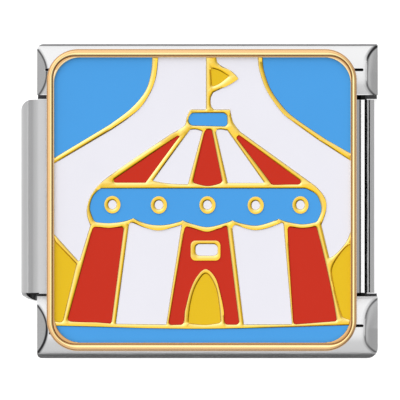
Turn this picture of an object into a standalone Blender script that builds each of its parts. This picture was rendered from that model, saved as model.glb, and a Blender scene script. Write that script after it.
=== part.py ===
"""Enamelled charm bracelet link: a steel shell with a framed enamel picture of a big top tent.

The link lies flat with its picture up: +X runs to the picture's right, +Y to its top and +Z out
of its face. The origin is at the middle of the underside. Sizes are in millimetres, outlines of
the picture in hundredths of a millimetre, and the meshes are in metres.
"""

import math

import bpy
import bmesh
from mathutils import Vector
from mathutils.geometry import tessellate_polygon

MM = 0.001
HUNDREDTH = 0.01
GAP = 0.02
OVER = 0.5  # how far a cutter runs past what it cuts

# Steel shell: one sheet folded round from the top plate, with a domed ear at each corner
SHELL_LEFT = -4.65
SHELL_RIGHT = 5.11
SHELL_HALF_WIDTH = 4.50
SHEET = 0.30
PLATE_TOP = 3.05
CREST_Y = 3.67
DOME_RADIUS = 1.35
EDGE_BEVEL = 0.06
INNER_BEND = 0.15
FOLD_RADIUS = 0.40
FLANGE_TOP_EDGE = 3.00
FLANGE_BOTTOM_EDGE = -2.78
PLAN_CORNER = 0.20
LEFT_FACET = 0.30
RIGHT_FACET = 0.34
FACET_DROP = 0.18
RECESS_TOP = 2.98
RECESS_BOTTOM = -2.76
LEFT_RECESS_DEPTH = 0.50
RIGHT_RECESS_DEPTH = 0.85
SLIT_WIDTH = 0.07
SLITS = (
    (-4.37, -3.95, 3.76),
    (-4.31, -3.95, -3.78),
    (4.20, 4.70, 3.76),
    (4.20, 4.70, -3.57),
)

# Connector: a flat sleeve of thin sheet, rolled round at the left, with an upturned lip at the right
SLEEVE_LEFT = -5.11
SLEEVE_RIGHT = 5.00
SLEEVE_BASE = 0.04
SLEEVE_HEIGHT = 1.40
SLEEVE_SHEET = 0.14
SLEEVE_PLAN = (
    (-512, 291, 32), (505, 291, 6), (505, -266, 6), (-470, -266, 0), (-470, -287, 2), (-479, -287, 12),
    (-512, -274, 10),
)
LIP_HEIGHT = 1.20
LIP_BEND = 0.30
CURL_RIGHT = 4.757
CURL_BEND = 0.24
CURL_END = 0.78

# Hinge pin of the connector, and the leaf springs that bear on its flats
PIN_X = 4.65
PIN_Z = 0.52
PIN_RADIUS = 0.17
PIN_HALF_LENGTH = 4.42
PIN_FLAT = 0.12
PIN_CLEARANCE = 0.03
FLAT_INNER = 3.06
FLAT_OUTER = 4.08
SPRING_INNER = 3.10
SPRING_OUTER = 4.04
SPRING_SHEET = 0.10
SPRING_ROUTE = (
    (-3.60, 0.37, 0), (-2.80, 0.37), (-0.80, 0.72), (1.60, 0.94), (3.60, 0.84), (4.90, 0.77, 0),
)

# Picture plate and bezel
BEZEL = (-4.37, 4.50, -4.29, 4.35)
BEZEL_CORNER = 0.90
WINDOW = (-4.16, 4.33, -4.05, 4.11)
WINDOW_CORNER = 0.76
PLATE_RIM = 0.05
PLATE_SEAT = PLATE_TOP + GAP
POCKET_FLOOR = 3.32
ENAMEL_TOP = 3.52
WIRE_TOP = 3.57
BEZEL_SECTION = (
    (0.00, PLATE_SEAT),
    (0.00, 3.46),
    (0.14, 3.59),
    (0.38, 3.68),
    (0.62, 3.70),
    (0.82, 3.66),
    (1.00, 3.58),
    (1.00, PLATE_SEAT),
)

# Finishes: colour as seen, each channel 0 to 255, then metallic value and roughness
STEEL = ((214, 214, 214), 1.0, 0.16)
ROSE_GOLD = ((236, 178, 116), 1.0, 0.2)
YELLOW_GOLD = ((244, 200, 86), 1.0, 0.22)
BLUE = ((79, 161, 234), 0.0, 0.25)
RED = ((203, 52, 40), 0.0, 0.25)
WHITE = ((238, 237, 246), 0.0, 0.25)
YELLOW = ((233, 194, 40), 0.0, 0.25)

# Rings of the valance: centres, and half width and half height of the wire's outer and inner edge
RING_CENTRES = ((-249, -10), (-116, -11), (23, -11), (161, -12), (289, -11))
RING_OUTER = (23, 25)
RING_INNER = (12, 13)

# The window in the tent wall: left, right, bottom, top and corner radius of the wire's two edges
LIGHT_OUTER = (-25, 60, -170, -113, 14)
LIGHT_INNER = (-11, 52, -156, -123, 12)

# Outlines of the enamel cells, written as the sleeve's plan and the springs' route are: a point of
# three numbers is a corner and its rounding, and one of two is curved smoothly through.
SKY_LEFT = (
    (-416, 411, 76), (-135, 411, 2), (-138, 370), (-150, 324), (-172, 290), (-206, 256),
    (-256, 219, 150), (-416, 123, 1),
)
SKY_RIGHT = (
    (433, 411, 76), (433, 136, 1), (365, 175, 200), (285, 229), (244, 264), (205, 318), (185, 373),
    (181, 411, 2),
)
FIELD_LEFT = (
    (-118, 411, 1), (19, 411, 1), (19, 262, 3), (-26, 262, 9), (-36, 240), (-41, 219), (-56, 206),
    (-84, 190), (-141, 152), (-199, 113), (-256, 73), (-285, 49), (-302, 29), (-316, 3), (-322, -23),
    (-320, -46), (-312, -69, 2), (-344, -174, 3), (-416, -94, 0), (-416, 107, 0), (-250, 205, 60),
    (-205, 236), (-167, 270), (-139, 313), (-123, 361),
)
FIELD_RIGHT = (
    (48, 411, 1), (51, 398), (62, 387), (88, 374), (103, 361), (112, 350, 3), (88, 334), (59, 320),
    (40, 311, 8), (33, 297), (32, 283), (34, 271), (42, 262, 2), (87, 262, 3), (90, 250), (93, 236),
    (99, 221), (116, 199, 12), (317, 54, 20), (335, 40), (351, 22), (361, 3), (363, -17), (360, -37),
    (349, -68, 2), (372, -164, 3), (388, -153), (406, -135), (421, -115), (433, -86, 0),
    (433, 115, 0), (340, 175, 200), (261, 232), (230, 261), (192, 317), (172, 373), (167, 411, 1),
)
FLAG = ((32, 381, 4), (58, 373), (84, 357, 2), (59, 337), (36, 327, 4))
CAP = ((-31, 252, 15), (79, 252, 13), (80, 214, 9), (-31, 217, 15))
ROOF_RED_LEFT = ((-52, 193, 2), (-154, 53, 3), (-258, 53, 6))
ROOF_WHITE_LEFT = ((-27, 204, 3), (-10, 205), (8, 200, 2), (-33, 48, 1), (-85, 50), (-133, 58, 1))
ROOF_RED_MIDDLE = ((17, 205, 7), (35, 205, 7), (66, 53, 8), (24, 44), (-19, 53, 7))
ROOF_WHITE_RIGHT = ((46, 204, 6), (62, 205), (80, 202, 3), (186, 52, 2), (81, 52, 2))
ROOF_RED_RIGHT = ((87, 207, 5), (208, 48, 5), (304, 48, 7))
VALANCE = (
    (-284, 36, 8), (304, 36, 25), (333, 20), (346, -5), (348, -30), (336, -60, 12), (297, -66),
    (260, -61), (226, -51, 4), (198, -62), (163, -70), (126, -65), (94, -55, 4), (62, -66), (23, -74),
    (-14, -67), (-48, -55, 4), (-80, -65), (-116, -69), (-153, -64), (-189, -49, 4), (-222, -59),
    (-260, -63), (-300, -60, 14), (-313, -22), (-305, 12),
)
WALL_RED_LEFT = ((-304, -74, 7), (-258, -77), (-216, -74, 6), (-252, -349, 5), (-378, -343, 7))
WALL_WHITE_LEFT = (
    (-201, -62, 7), (-189, -63), (-156, -76), (-117, -84), (-78, -76), (-51, -68, 1), (-95, -353, 1),
    (-239, -351, 4),
)
WALL_RED_MIDDLE = (
    (-41, -72, 6), (-10, -81), (24, -88), (54, -80), (79, -71, 5), (114, -353, 8), (73, -353, 9),
    (69, -311), (60, -262), (44, -217), (18, -195), (-8, -217), (-28, -262), (-41, -311),
    (-46, -353, 8), (-88, -354, 8),
)
WALL_WHITE_RIGHT = (
    (93, -67, 9), (109, -70), (136, -79), (163, -83), (196, -77), (240, -60, 5), (265, -352, 2),
    (127, -353, 3),
)
WALL_RED_RIGHT = (
    (252, -73, 6), (294, -78), (335, -73, 7), (359, -169), (383, -283), (393, -343, 5), (270, -352, 8),
)
DOOR = (
    (-32, -349, 4), (15, -354), (61, -348, 6), (57, -300), (46, -245), (19, -207), (-9, -240),
    (-25, -290),
)
HILL_LEFT = ((-416, -112, 0), (-352, -180, 6), (-392, -347, 9), (-416, -344, 0))
HILL_RIGHT = (
    (433, -121, 0), (417, -134), (397, -159), (381, -188), (380, -215), (391, -269), (406, -322),
    (414, -334), (433, -340, 0),
)
GROUND = (
    (-410, -357, 1), (16, -366), (428, -355, 1), (411, -383), (387, -399), (357, -405, 0),
    (-340, -405, 0), (-370, -399), (-394, -383),
)

CURVE_STEPS = 3
CORNER_STEPS = 3
ROUND_STEPS = 5
RING_STEPS = 14
DOME_STEPS = 5
BEND_STEPS = 4
ROLL_STEPS = 12
PIN_STEPS = 24
MITRE_LIMIT = 0.5


def clear_scene():
    """Removes whatever the file opened with."""
    for scene_object in list(bpy.data.objects):
        bpy.data.objects.remove(scene_object, do_unlink=True)


def linear(colour):
    """Turns a colour as seen into the linear values that a shader takes."""
    channels = []
    for channel in colour:
        value = channel / 255.0
        channels.append(value / 12.92 if value <= 0.04045 else ((value + 0.055) / 1.055) ** 2.4)
    return (*channels, 1.0)


def make_material(name, colour, metallic, roughness):
    """One Principled material."""
    material = bpy.data.materials.new(name)
    material.use_nodes = True
    shader = material.node_tree.nodes["Principled BSDF"]
    shader.inputs["Base Color"].default_value = linear(colour)
    shader.inputs["Metallic"].default_value = metallic
    shader.inputs["Roughness"].default_value = roughness
    return material


def signed_area(loop):
    """Area of a closed outline, positive when it runs counter-clockwise."""
    total = 0.0
    for (x0, y0), (x1, y1) in zip(loop, loop[1:] + loop[:1]):
        total += x0 * y1 - x1 * y0
    return total / 2


def curve_point(before, start, end, after, t):
    """Catmull-Rom point between start and end."""
    return tuple(
        0.5 * (2 * b + (c - a) * t + (2 * a - 5 * b + 4 * c - d) * t**2 + (3 * b - a - 3 * c + d) * t**3)
        for a, b, c, d in zip(before, start, end, after)
    )


def trace(points, steps=CURVE_STEPS):
    """Follows an outline and returns its points, each with the rounding of its corner or None."""
    count = len(points)
    traced = []
    for index, point in enumerate(points):
        following = points[(index + 1) % count]
        start = point[:2]
        end = following[:2]
        traced.append((start, point[2] if len(point) == 3 else None))
        if len(point) == 3 and len(following) == 3:
            continue
        before = start if len(point) == 3 else points[index - 1][:2]
        after = end if len(following) == 3 else points[(index + 2) % count][:2]
        for step in range(1, steps):
            traced.append((curve_point(before, start, end, after, step / steps), None))
    return traced


def walk(traced, index, direction, distance):
    """Goes a distance along the outline from a point; returns the place and the points passed."""
    count = len(traced)
    here = Vector(traced[index][0])
    passed = set()
    while True:
        following = (index + direction) % count
        target = Vector(traced[following][0])
        step = (target - here).length
        if step >= distance:
            return here + (target - here) * (distance / step), passed
        distance -= step
        here = target
        index = following
        passed.add(index)


def round_corners(traced, steps=CORNER_STEPS):
    """Rounds each marked corner with a short curve that touches both of its sides."""
    count = len(traced)
    corners = {}
    dropped = set()
    for index, (place, radius) in enumerate(traced):
        if not radius:
            continue
        here = Vector(place)
        back = (Vector(traced[index - 1][0]) - here).normalized()
        ahead = (Vector(traced[(index + 1) % count][0]) - here).normalized()
        half = back.angle(ahead) / 2
        reach = radius / math.tan(half)
        first, passed_back = walk(traced, index, -1, reach)
        last, passed_ahead = walk(traced, index, 1, reach)
        dropped |= passed_back | passed_ahead
        lift = 4 / 3 * math.tan((math.pi / 2 - half) / 2) * radius
        first_handle = first + (here - first).normalized() * lift
        last_handle = last + (here - last).normalized() * lift
        corners[index] = [
            tuple(
                first * (1 - t) ** 3
                + first_handle * (3 * t * (1 - t) ** 2)
                + last_handle * (3 * t**2 * (1 - t))
                + last * t**3
            )
            for t in (step / steps for step in range(steps + 1))
        ]
    loop = []
    for index, (place, _) in enumerate(traced):
        if index in corners:
            loop.extend(corners[index])
        elif index not in dropped:
            loop.append(tuple(place))
    return loop


def cell_loop(points):
    """Closed outline of an enamel cell in millimetres, counter-clockwise."""
    loop = [(x * HUNDREDTH, y * HUNDREDTH) for x, y in round_corners(trace(points))]
    return loop if signed_area(loop) > 0 else loop[::-1]


def rounded_rectangle(left, right, bottom, top, radius, steps=ROUND_STEPS):
    """Counter-clockwise rectangle with round corners."""
    loop = []
    centres = ((right, top, -1, -1), (left, top, 1, -1), (left, bottom, 1, 1), (right, bottom, -1, 1))
    for quarter, (x, y, inward_x, inward_y) in enumerate(centres):
        for step in range(steps + 1):
            angle = (quarter + step / steps) * math.pi / 2
            loop.append((
                x + radius * (inward_x + math.cos(angle)),
                y + radius * (inward_y + math.sin(angle)),
            ))
    return loop


def ellipse(centre, half_size):
    """Counter-clockwise oval in millimetres from hundredths."""
    return [
        (
            (centre[0] + half_size[0] * math.cos(2 * math.pi * step / RING_STEPS)) * HUNDREDTH,
            (centre[1] + half_size[1] * math.sin(2 * math.pi * step / RING_STEPS)) * HUNDREDTH,
        )
        for step in range(RING_STEPS)
    ]


def light_loop(edge):
    """Rounded outline of the window in the tent wall, in millimetres."""
    return rounded_rectangle(*(value * HUNDREDTH for value in edge), steps=CORNER_STEPS)


def grow(loop, distance):
    """Moves each side of a counter-clockwise outline outwards, or inwards if negative."""
    grown = []
    count = len(loop)
    for index in range(count):
        before = Vector(loop[index - 1])
        here = Vector(loop[index])
        after = Vector(loop[(index + 1) % count])
        first = (here - before).normalized()
        second = (after - here).normalized()
        normal = Vector((first.y + second.y, -first.x - second.x)).normalized()
        stretch = max(normal.dot(Vector((first.y, -first.x))), MITRE_LIMIT)
        grown.append(tuple(here + normal * (distance / stretch)))
    return grown


ALONG = {
    "X": lambda u, v, w: (w, u, v),
    "Y": lambda u, v, w: (u, w, v),
    "Z": lambda u, v, w: (u, v, w),
}


def finish(name, mesh, material=None):
    """Puts a mesh into the scene as an object; one with no material is a cutter."""
    made = bpy.data.objects.new(name, mesh)
    bpy.context.scene.collection.objects.link(made)
    if material is None:
        made.hide_render = True
        made.display_type = "WIRE"
    else:
        mesh.materials.append(material)
    return made


def close_mesh(name, work):
    """Turns a bmesh into a mesh whose faces all point out."""
    bmesh.ops.recalc_face_normals(work, faces=work.faces)
    mesh = bpy.data.meshes.new(name)
    work.to_mesh(mesh)
    work.free()
    return mesh


def prism(name, loops, low, high, material=None, along="Z"):
    """Closed solid: an outline, less any holes, carried from low to high along an axis."""
    place = ALONG[along]
    work = bmesh.new()
    layers = []
    for level in (low, high):
        layers.append([
            [work.verts.new([value * MM for value in place(u, v, level)]) for u, v in loop]
            for loop in loops
        ])
    flat = [[Vector((u, v, 0.0)) for u, v in loop] for loop in loops]
    for layer in layers:
        corners = [vertex for ring in layer for vertex in ring]
        for triangle in tessellate_polygon(flat):
            work.faces.new([corners[index] for index in triangle])
    for lower, upper in zip(*layers):
        for index in range(len(lower)):
            following = (index + 1) % len(lower)
            work.faces.new((lower[index], lower[following], upper[following], upper[index]))
    return finish(name, close_mesh(name, work), material)


def box(name, x_range, y_range, z_range):
    """Box-shaped cutter."""
    (x0, x1), (y0, y1) = x_range, y_range
    return prism(name, [[(x0, y0), (x1, y0), (x1, y1), (x0, y1)]], *z_range)


def cut(target, cutter, operation="DIFFERENCE"):
    """Cuts a solid with another, or keeps what they share."""
    modifier = target.modifiers.new(cutter.name, "BOOLEAN")
    modifier.operation = operation
    modifier.solver = "EXACT"
    modifier.object = cutter


def arc(centre, radius, start, end, steps):
    """Points of an arc; angles in degrees."""
    points = []
    for step in range(steps + 1):
        angle = math.radians(start + (end - start) * step / steps)
        points.append((centre[0] + radius * math.cos(angle), centre[1] + radius * math.sin(angle)))
    return points


def pin_circle(radius):
    """Circle about the pin's axis, seen along the axis."""
    return arc((PIN_X, PIN_Z), radius, 0, 360, PIN_STEPS)[:-1]


def strip_loop(route, thickness):
    """Outline of a sheet of even thickness whose middle follows a route."""
    left = []
    right = []
    for index, here in enumerate(route):
        before = Vector(route[max(index - 1, 0)])
        after = Vector(route[min(index + 1, len(route) - 1)])
        centre = Vector(here)
        directions = [d.normalized() for d in (centre - before, after - centre) if d.length > 0]
        normal = sum((Vector((-d.y, d.x)) for d in directions), Vector((0.0, 0.0))).normalized()
        stretch = normal.dot(Vector((-directions[0].y, directions[0].x)))
        offset = normal * (thickness / 2 / stretch)
        left.append(tuple(centre + offset))
        right.append(tuple(centre - offset))
    return left + right[::-1]


def dome_height(offset):
    """Height of the domed ear at a distance from its crest."""
    return PLATE_TOP - DOME_RADIUS + math.sqrt(DOME_RADIUS**2 - offset**2)


def shell_section():
    """Section across the shell: top plate, domed edges, side walls and in-turned flanges."""
    reach = SHELL_HALF_WIDTH - CREST_Y
    offsets = [reach * step / DOME_STEPS for step in range(DOME_STEPS)]
    edge = dome_height(reach)
    outer = arc((SHELL_HALF_WIDTH - FOLD_RADIUS, FOLD_RADIUS), FOLD_RADIUS, -90, 0, BEND_STEPS)
    outer += [
        (SHELL_HALF_WIDTH, edge - EDGE_BEVEL),
        (SHELL_HALF_WIDTH - EDGE_BEVEL / 2, edge + EDGE_BEVEL / 3),
    ]
    outer += [(CREST_Y + offset, dome_height(offset)) for offset in reversed(offsets)]
    inner_fold = FOLD_RADIUS - SHEET
    inner_half = SHELL_HALF_WIDTH - SHEET
    ceiling = PLATE_TOP - SHEET
    inner = [(CREST_Y, ceiling), (inner_half - INNER_BEND, ceiling - INNER_BEND / 2)]
    inner += [(inner_half, edge - SHEET)]
    inner += arc((inner_half - inner_fold, SHEET + inner_fold), inner_fold, 0, -90, 2)
    far_outer = [(-y, z) for y, z in outer[::-1]] + [(FLANGE_BOTTOM_EDGE, 0.0)]
    far_inner = [(FLANGE_BOTTOM_EDGE, SHEET)] + [(-y, z) for y, z in inner[::-1]]
    near_inner = inner + [(FLANGE_TOP_EDGE, SHEET), (FLANGE_TOP_EDGE, 0.0)]
    return outer + far_outer + far_inner + near_inner


def ear_curls(shell, x_range, tag):
    """Domes the inner half of the two ears at one end."""
    for side, recess in (("top", RECESS_TOP), ("bottom", RECESS_BOTTOM)):
        sign = 1 if recess > 0 else -1
        reach = CREST_Y - abs(recess)
        curve = [
            (sign * (CREST_Y - offset), dome_height(offset))
            for offset in (reach * step / DOME_STEPS for step in range(DOME_STEPS + 1))
        ]
        outline = curve + [
            (sign * (CREST_Y - reach - OVER), curve[-1][1]),
            (sign * (CREST_Y - reach - OVER), PLATE_TOP + OVER),
            (sign * CREST_Y, PLATE_TOP + OVER),
        ]
        cut(shell, prism(f"curl_{side}_{tag}", [outline], *x_range, along="X"))


def end_facet(shell, end, depth, tag):
    """Bevels the ends of the two ears on one side, which leaves lens-shaped facets."""
    inward = 1 if end < 0 else -1
    slope = FACET_DROP / depth
    outline = [
        (end - inward * OVER, PLATE_TOP - FACET_DROP - OVER * slope),
        (end + inward * (depth + OVER), PLATE_TOP + OVER * slope),
        (end - inward * OVER, PLATE_TOP + OVER * slope),
    ]
    half = SHELL_HALF_WIDTH + OVER
    cut(shell, prism(f"facet_{tag}", [outline], -half, half, along="Y"))


def make_shell(material):
    """The folded steel shell."""
    shell = prism("steel_shell", [shell_section()], SHELL_LEFT, SHELL_RIGHT, material, along="X")
    plan = rounded_rectangle(
        SHELL_LEFT, SHELL_RIGHT, -SHELL_HALF_WIDTH, SHELL_HALF_WIDTH, PLAN_CORNER, CORNER_STEPS
    )
    cut(shell, prism("shell_plan", [plan], -OVER, PLATE_TOP + OVER), "INTERSECT")
    through_plate = (PLATE_TOP / 2, PLATE_TOP + OVER)
    left_range = (SHELL_LEFT - OVER, SHELL_LEFT + LEFT_RECESS_DEPTH)
    right_range = (SHELL_RIGHT - RIGHT_RECESS_DEPTH, SHELL_RIGHT + OVER)
    for x_range, tag in ((left_range, "left"), (right_range, "right")):
        cut(shell, box(f"recess_{tag}", x_range, (RECESS_BOTTOM, RECESS_TOP), through_plate))
        ear_curls(shell, x_range, tag)
    end_facet(shell, SHELL_LEFT, LEFT_FACET, "left")
    end_facet(shell, SHELL_RIGHT, RIGHT_FACET, "right")
    for index, (start, end, y) in enumerate(SLITS):
        y_range = (y - SLIT_WIDTH / 2, y + SLIT_WIDTH / 2)
        cut(shell, box(f"slit_{index}", (start, end), y_range, through_plate))
    hole = pin_circle(PIN_RADIUS + PIN_CLEARANCE)
    half = SHELL_HALF_WIDTH + OVER
    cut(shell, prism("pin_hole", [hole], -half, half, along="Y"))


def sleeve_route():
    """Middle line of the connector's sheet, from its inner curl round the left roll to the lip."""
    half = SLEEVE_SHEET / 2
    low = SLEEVE_BASE + half
    high = SLEEVE_BASE + SLEEVE_HEIGHT - half
    roll = (high - low) / 2
    curl_x = CURL_RIGHT - half
    lip_x = SLEEVE_RIGHT - half
    route = [(curl_x, CURL_END)]
    route += arc((curl_x - CURL_BEND, high - CURL_BEND), CURL_BEND, 0, 90, BEND_STEPS)
    route += arc((SLEEVE_LEFT + half + roll, (low + high) / 2), roll, 90, 270, ROLL_STEPS)
    route += arc((lip_x - LIP_BEND, low + LIP_BEND), LIP_BEND, -90, 0, BEND_STEPS)
    route += [(lip_x, LIP_HEIGHT)]
    return route


def make_sleeve(material):
    """The flat sleeve between the ears, with its rolled left end, trimmed to its plan."""
    strip = strip_loop(sleeve_route(), SLEEVE_SHEET)
    half = SHELL_HALF_WIDTH
    sleeve = prism("connector_sleeve", [strip], -half, half, material, along="Y")
    plan = cell_loop(SLEEVE_PLAN)
    cut(sleeve, prism("sleeve_plan", [plan], -OVER, SLEEVE_HEIGHT + OVER), "INTERSECT")
    return sleeve


def make_pin(material):
    """The pin that the sleeve turns on, with two flats at each end for the springs."""
    half = PIN_HALF_LENGTH
    pin = prism("hinge_pin", [pin_circle(PIN_RADIUS)], -half, half, material, along="Y")
    across = (PIN_X - OVER, PIN_X + OVER)
    for side, y_range in (("top", (FLAT_INNER, FLAT_OUTER)), ("bottom", (-FLAT_OUTER, -FLAT_INNER))):
        cut(pin, box(f"flat_{side}_upper", across, y_range, (PIN_Z + PIN_FLAT, PIN_Z + OVER)))
        cut(pin, box(f"flat_{side}_lower", across, y_range, (PIN_Z - OVER, PIN_Z - PIN_FLAT)))
    return pin


def make_connector(material):
    """The sleeve and its pin, which turn together on an empty at the pin's axis."""
    axis = bpy.data.objects.new("connector_axis", None)
    axis.location = (PIN_X * MM, 0.0, PIN_Z * MM)
    bpy.context.scene.collection.objects.link(axis)
    for piece in (make_sleeve(material), make_pin(material)):
        piece.parent = axis
        piece.location = -axis.location


def make_springs(material):
    """The two leaf springs that lie on the flanges and bear on the pin's flats."""
    route = [place for place, _ in trace(SPRING_ROUTE)]
    loop = strip_loop(route, SPRING_SHEET)
    prism("leaf_spring_top", [loop], SPRING_INNER, SPRING_OUTER, material, along="Y")
    prism("leaf_spring_bottom", [loop], -SPRING_OUTER, -SPRING_INNER, material, along="Y")


def make_bezel(material):
    """The raised frame round the picture, carried round between two rounded outlines."""
    outer = rounded_rectangle(*BEZEL, BEZEL_CORNER)
    inner_edge = (
        WINDOW[0] - PLATE_RIM - GAP,
        WINDOW[1] + PLATE_RIM + GAP,
        WINDOW[2] - PLATE_RIM - GAP,
        WINDOW[3] + PLATE_RIM + GAP,
    )
    inner = rounded_rectangle(*inner_edge, WINDOW_CORNER + PLATE_RIM + GAP)
    work = bmesh.new()
    rings = []
    for share, height in BEZEL_SECTION:
        rings.append([
            work.verts.new((
                (x0 + (x1 - x0) * share) * MM,
                (y0 + (y1 - y0) * share) * MM,
                height * MM,
            ))
            for (x0, y0), (x1, y1) in zip(outer, inner)
        ])
    for ring, following in zip(rings, rings[1:] + rings[:1]):
        for index in range(len(ring)):
            ahead = (index + 1) % len(ring)
            work.faces.new((ring[index], ring[ahead], following[ahead], following[index]))
    mesh = close_mesh("bezel", work)
    finish("bezel", mesh, material)


def enamel_cells():
    """Every enamel cell: its name, colour and outlines, with its holes after the outer one."""
    ring_holes = [ellipse(centre, RING_OUTER) for centre in RING_CENTRES]
    cells = [
        ("sky_left", "blue", [cell_loop(SKY_LEFT)]),
        ("sky_right", "blue", [cell_loop(SKY_RIGHT)]),
        ("field_left", "white", [cell_loop(FIELD_LEFT)]),
        ("field_right", "white", [cell_loop(FIELD_RIGHT)]),
        ("flag", "yellow", [cell_loop(FLAG)]),
        ("cap", "blue", [cell_loop(CAP)]),
        ("roof_red_left", "red", [cell_loop(ROOF_RED_LEFT)]),
        ("roof_white_left", "white", [cell_loop(ROOF_WHITE_LEFT)]),
        ("roof_red_middle", "red", [cell_loop(ROOF_RED_MIDDLE)]),
        ("roof_white_right", "white", [cell_loop(ROOF_WHITE_RIGHT)]),
        ("roof_red_right", "red", [cell_loop(ROOF_RED_RIGHT)]),
        ("valance", "blue", [cell_loop(VALANCE)] + ring_holes),
        ("wall_red_left", "red", [cell_loop(WALL_RED_LEFT)]),
        ("wall_white_left", "white", [cell_loop(WALL_WHITE_LEFT)]),
        ("wall_red_middle", "red", [cell_loop(WALL_RED_MIDDLE), light_loop(LIGHT_OUTER)]),
        ("wall_white_right", "white", [cell_loop(WALL_WHITE_RIGHT)]),
        ("wall_red_right", "red", [cell_loop(WALL_RED_RIGHT)]),
        ("window", "white", [light_loop(LIGHT_INNER)]),
        ("door", "yellow", [cell_loop(DOOR)]),
        ("hill_left", "yellow", [cell_loop(HILL_LEFT)]),
        ("hill_right", "yellow", [cell_loop(HILL_RIGHT)]),
        ("ground", "blue", [cell_loop(GROUND)]),
    ]
    for number, centre in enumerate(RING_CENTRES, start=1):
        cells.append((f"ring_{number}", "white", [ellipse(centre, RING_INNER)]))
    return cells


def make_picture(plate_material, enamels):
    """The gold plate with a pocket for each cell, and the enamel that fills each pocket."""
    outline = rounded_rectangle(
        WINDOW[0] - PLATE_RIM, WINDOW[1] + PLATE_RIM, WINDOW[2] - PLATE_RIM, WINDOW[3] + PLATE_RIM,
        WINDOW_CORNER + PLATE_RIM,
    )
    plate = prism("picture_plate", [outline], PLATE_SEAT, WIRE_TOP, plate_material)
    pockets = bpy.data.collections.new("pockets")
    bpy.context.scene.collection.children.link(pockets)
    for name, colour, loops in enamel_cells():
        pocket = prism(f"pocket_{name}", loops, POCKET_FLOOR, WIRE_TOP + OVER)
        bpy.context.scene.collection.objects.unlink(pocket)
        pockets.objects.link(pocket)
        half_gap = GAP / 2
        shrunk = [grow(loops[0], -half_gap)] + [grow(hole, half_gap) for hole in loops[1:]]
        prism(f"enamel_{name}", shrunk, POCKET_FLOOR + half_gap, ENAMEL_TOP, enamels[colour])
    modifier = plate.modifiers.new("pockets", "BOOLEAN")
    modifier.operation = "DIFFERENCE"
    modifier.solver = "EXACT"
    modifier.operand_type = "COLLECTION"
    modifier.collection = pockets


def main():
    """Builds the link."""
    clear_scene()
    steel = make_material("polished_steel", *STEEL)
    make_shell(steel)
    make_connector(steel)
    make_springs(steel)
    make_bezel(make_material("rose_gold", *ROSE_GOLD))
    enamels = {
        "blue": make_material("enamel_blue", *BLUE),
        "red": make_material("enamel_red", *RED),
        "white": make_material("enamel_white", *WHITE),
        "yellow": make_material("enamel_yellow", *YELLOW),
    }
    make_picture(make_material("yellow_gold", *YELLOW_GOLD), enamels)


main()
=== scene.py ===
"""Looks of an enamelled charm bracelet link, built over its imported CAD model.

The link lies flat with its picture up: +X runs to the picture's right, +Y to its top and +Z out of
its face. Sizes here are in millimetres and the picture's outlines in hundredths of a millimetre;
they become metres only where a mesh is made.
"""

import logging
import math
from collections.abc import Callable, Sequence
from dataclasses import dataclass, field
from enum import Enum
from typing import Any

import bpy
import numpy as np
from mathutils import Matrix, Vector
from mathutils.geometry import delaunay_2d_cdt


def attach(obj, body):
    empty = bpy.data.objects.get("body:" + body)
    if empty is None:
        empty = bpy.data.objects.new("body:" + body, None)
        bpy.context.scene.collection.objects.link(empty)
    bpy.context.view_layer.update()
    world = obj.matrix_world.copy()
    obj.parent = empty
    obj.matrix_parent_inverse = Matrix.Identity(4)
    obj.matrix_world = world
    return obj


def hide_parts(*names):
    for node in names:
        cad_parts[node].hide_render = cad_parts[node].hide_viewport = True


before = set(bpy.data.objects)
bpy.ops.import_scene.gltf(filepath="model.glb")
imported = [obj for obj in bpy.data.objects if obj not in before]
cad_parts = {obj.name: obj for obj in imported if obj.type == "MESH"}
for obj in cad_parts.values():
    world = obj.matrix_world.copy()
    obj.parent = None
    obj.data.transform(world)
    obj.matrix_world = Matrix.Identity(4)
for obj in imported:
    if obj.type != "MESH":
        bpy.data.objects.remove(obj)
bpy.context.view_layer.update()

log = logging.getLogger("bracelet_link")

MM = 0.001
HUNDREDTH = 0.01
TINY = 1e-9
MERGED_BELOW = 1e-7
PROBE_SPACING = 0.005
SHARE_OF_ROOM = 0.35

Point = tuple[float, float]
Triple = tuple[float, float, float]
Colour = Triple
Outline = tuple[tuple[float, ...], ...]


class Body(Enum):
    """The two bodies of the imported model."""

    LINK = "link"
    CONNECTOR = "connector"


class Slot(Enum):
    """The record's material slots."""

    STEEL = "steel"
    ROSE_GOLD = "rose_gold"
    YELLOW_GOLD = "yellow_gold"
    BLUE = "enamel_blue"
    RED = "enamel_red"
    WHITE = "enamel_white"
    YELLOW = "enamel_yellow"


# Shader graph


def both_ways(operation: str) -> tuple[Callable[..., "Flow"], Callable[..., "Flow"]]:
    """Makes the two methods of an operator.

    Args:
        operation: the operation of the Math node that it adds.

    Returns:
        Its method, self with other, and the reflected one, other with self.
    """

    def plain(self: "Flow", other: "Flow | float") -> "Flow":
        """Self first."""
        return self.graph.maths(operation, self, other)

    def reflected(self: "Flow", other: float) -> "Flow":
        """Other first."""
        return self.graph.maths(operation, other, self)

    return plain, reflected


class Flow:
    """An output socket that takes part in Python expressions, each of which adds its Math node."""

    __add__, __radd__ = both_ways("ADD")
    __sub__, __rsub__ = both_ways("SUBTRACT")
    __mul__, __rmul__ = both_ways("MULTIPLY")
    __truediv__, __rtruediv__ = both_ways("DIVIDE")
    __pow__, __rpow__ = both_ways("POWER")

    def __init__(self, graph: "Graph", socket: bpy.types.NodeSocket) -> None:
        """Keeps the socket and the graph that its Math nodes go into."""
        self.graph = graph
        self.socket = socket

    def clamped(self) -> "Flow":
        """Self kept between 0 and 1."""
        return self.graph.maths("ADD", self, 0.0, clamp=True)


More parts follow.
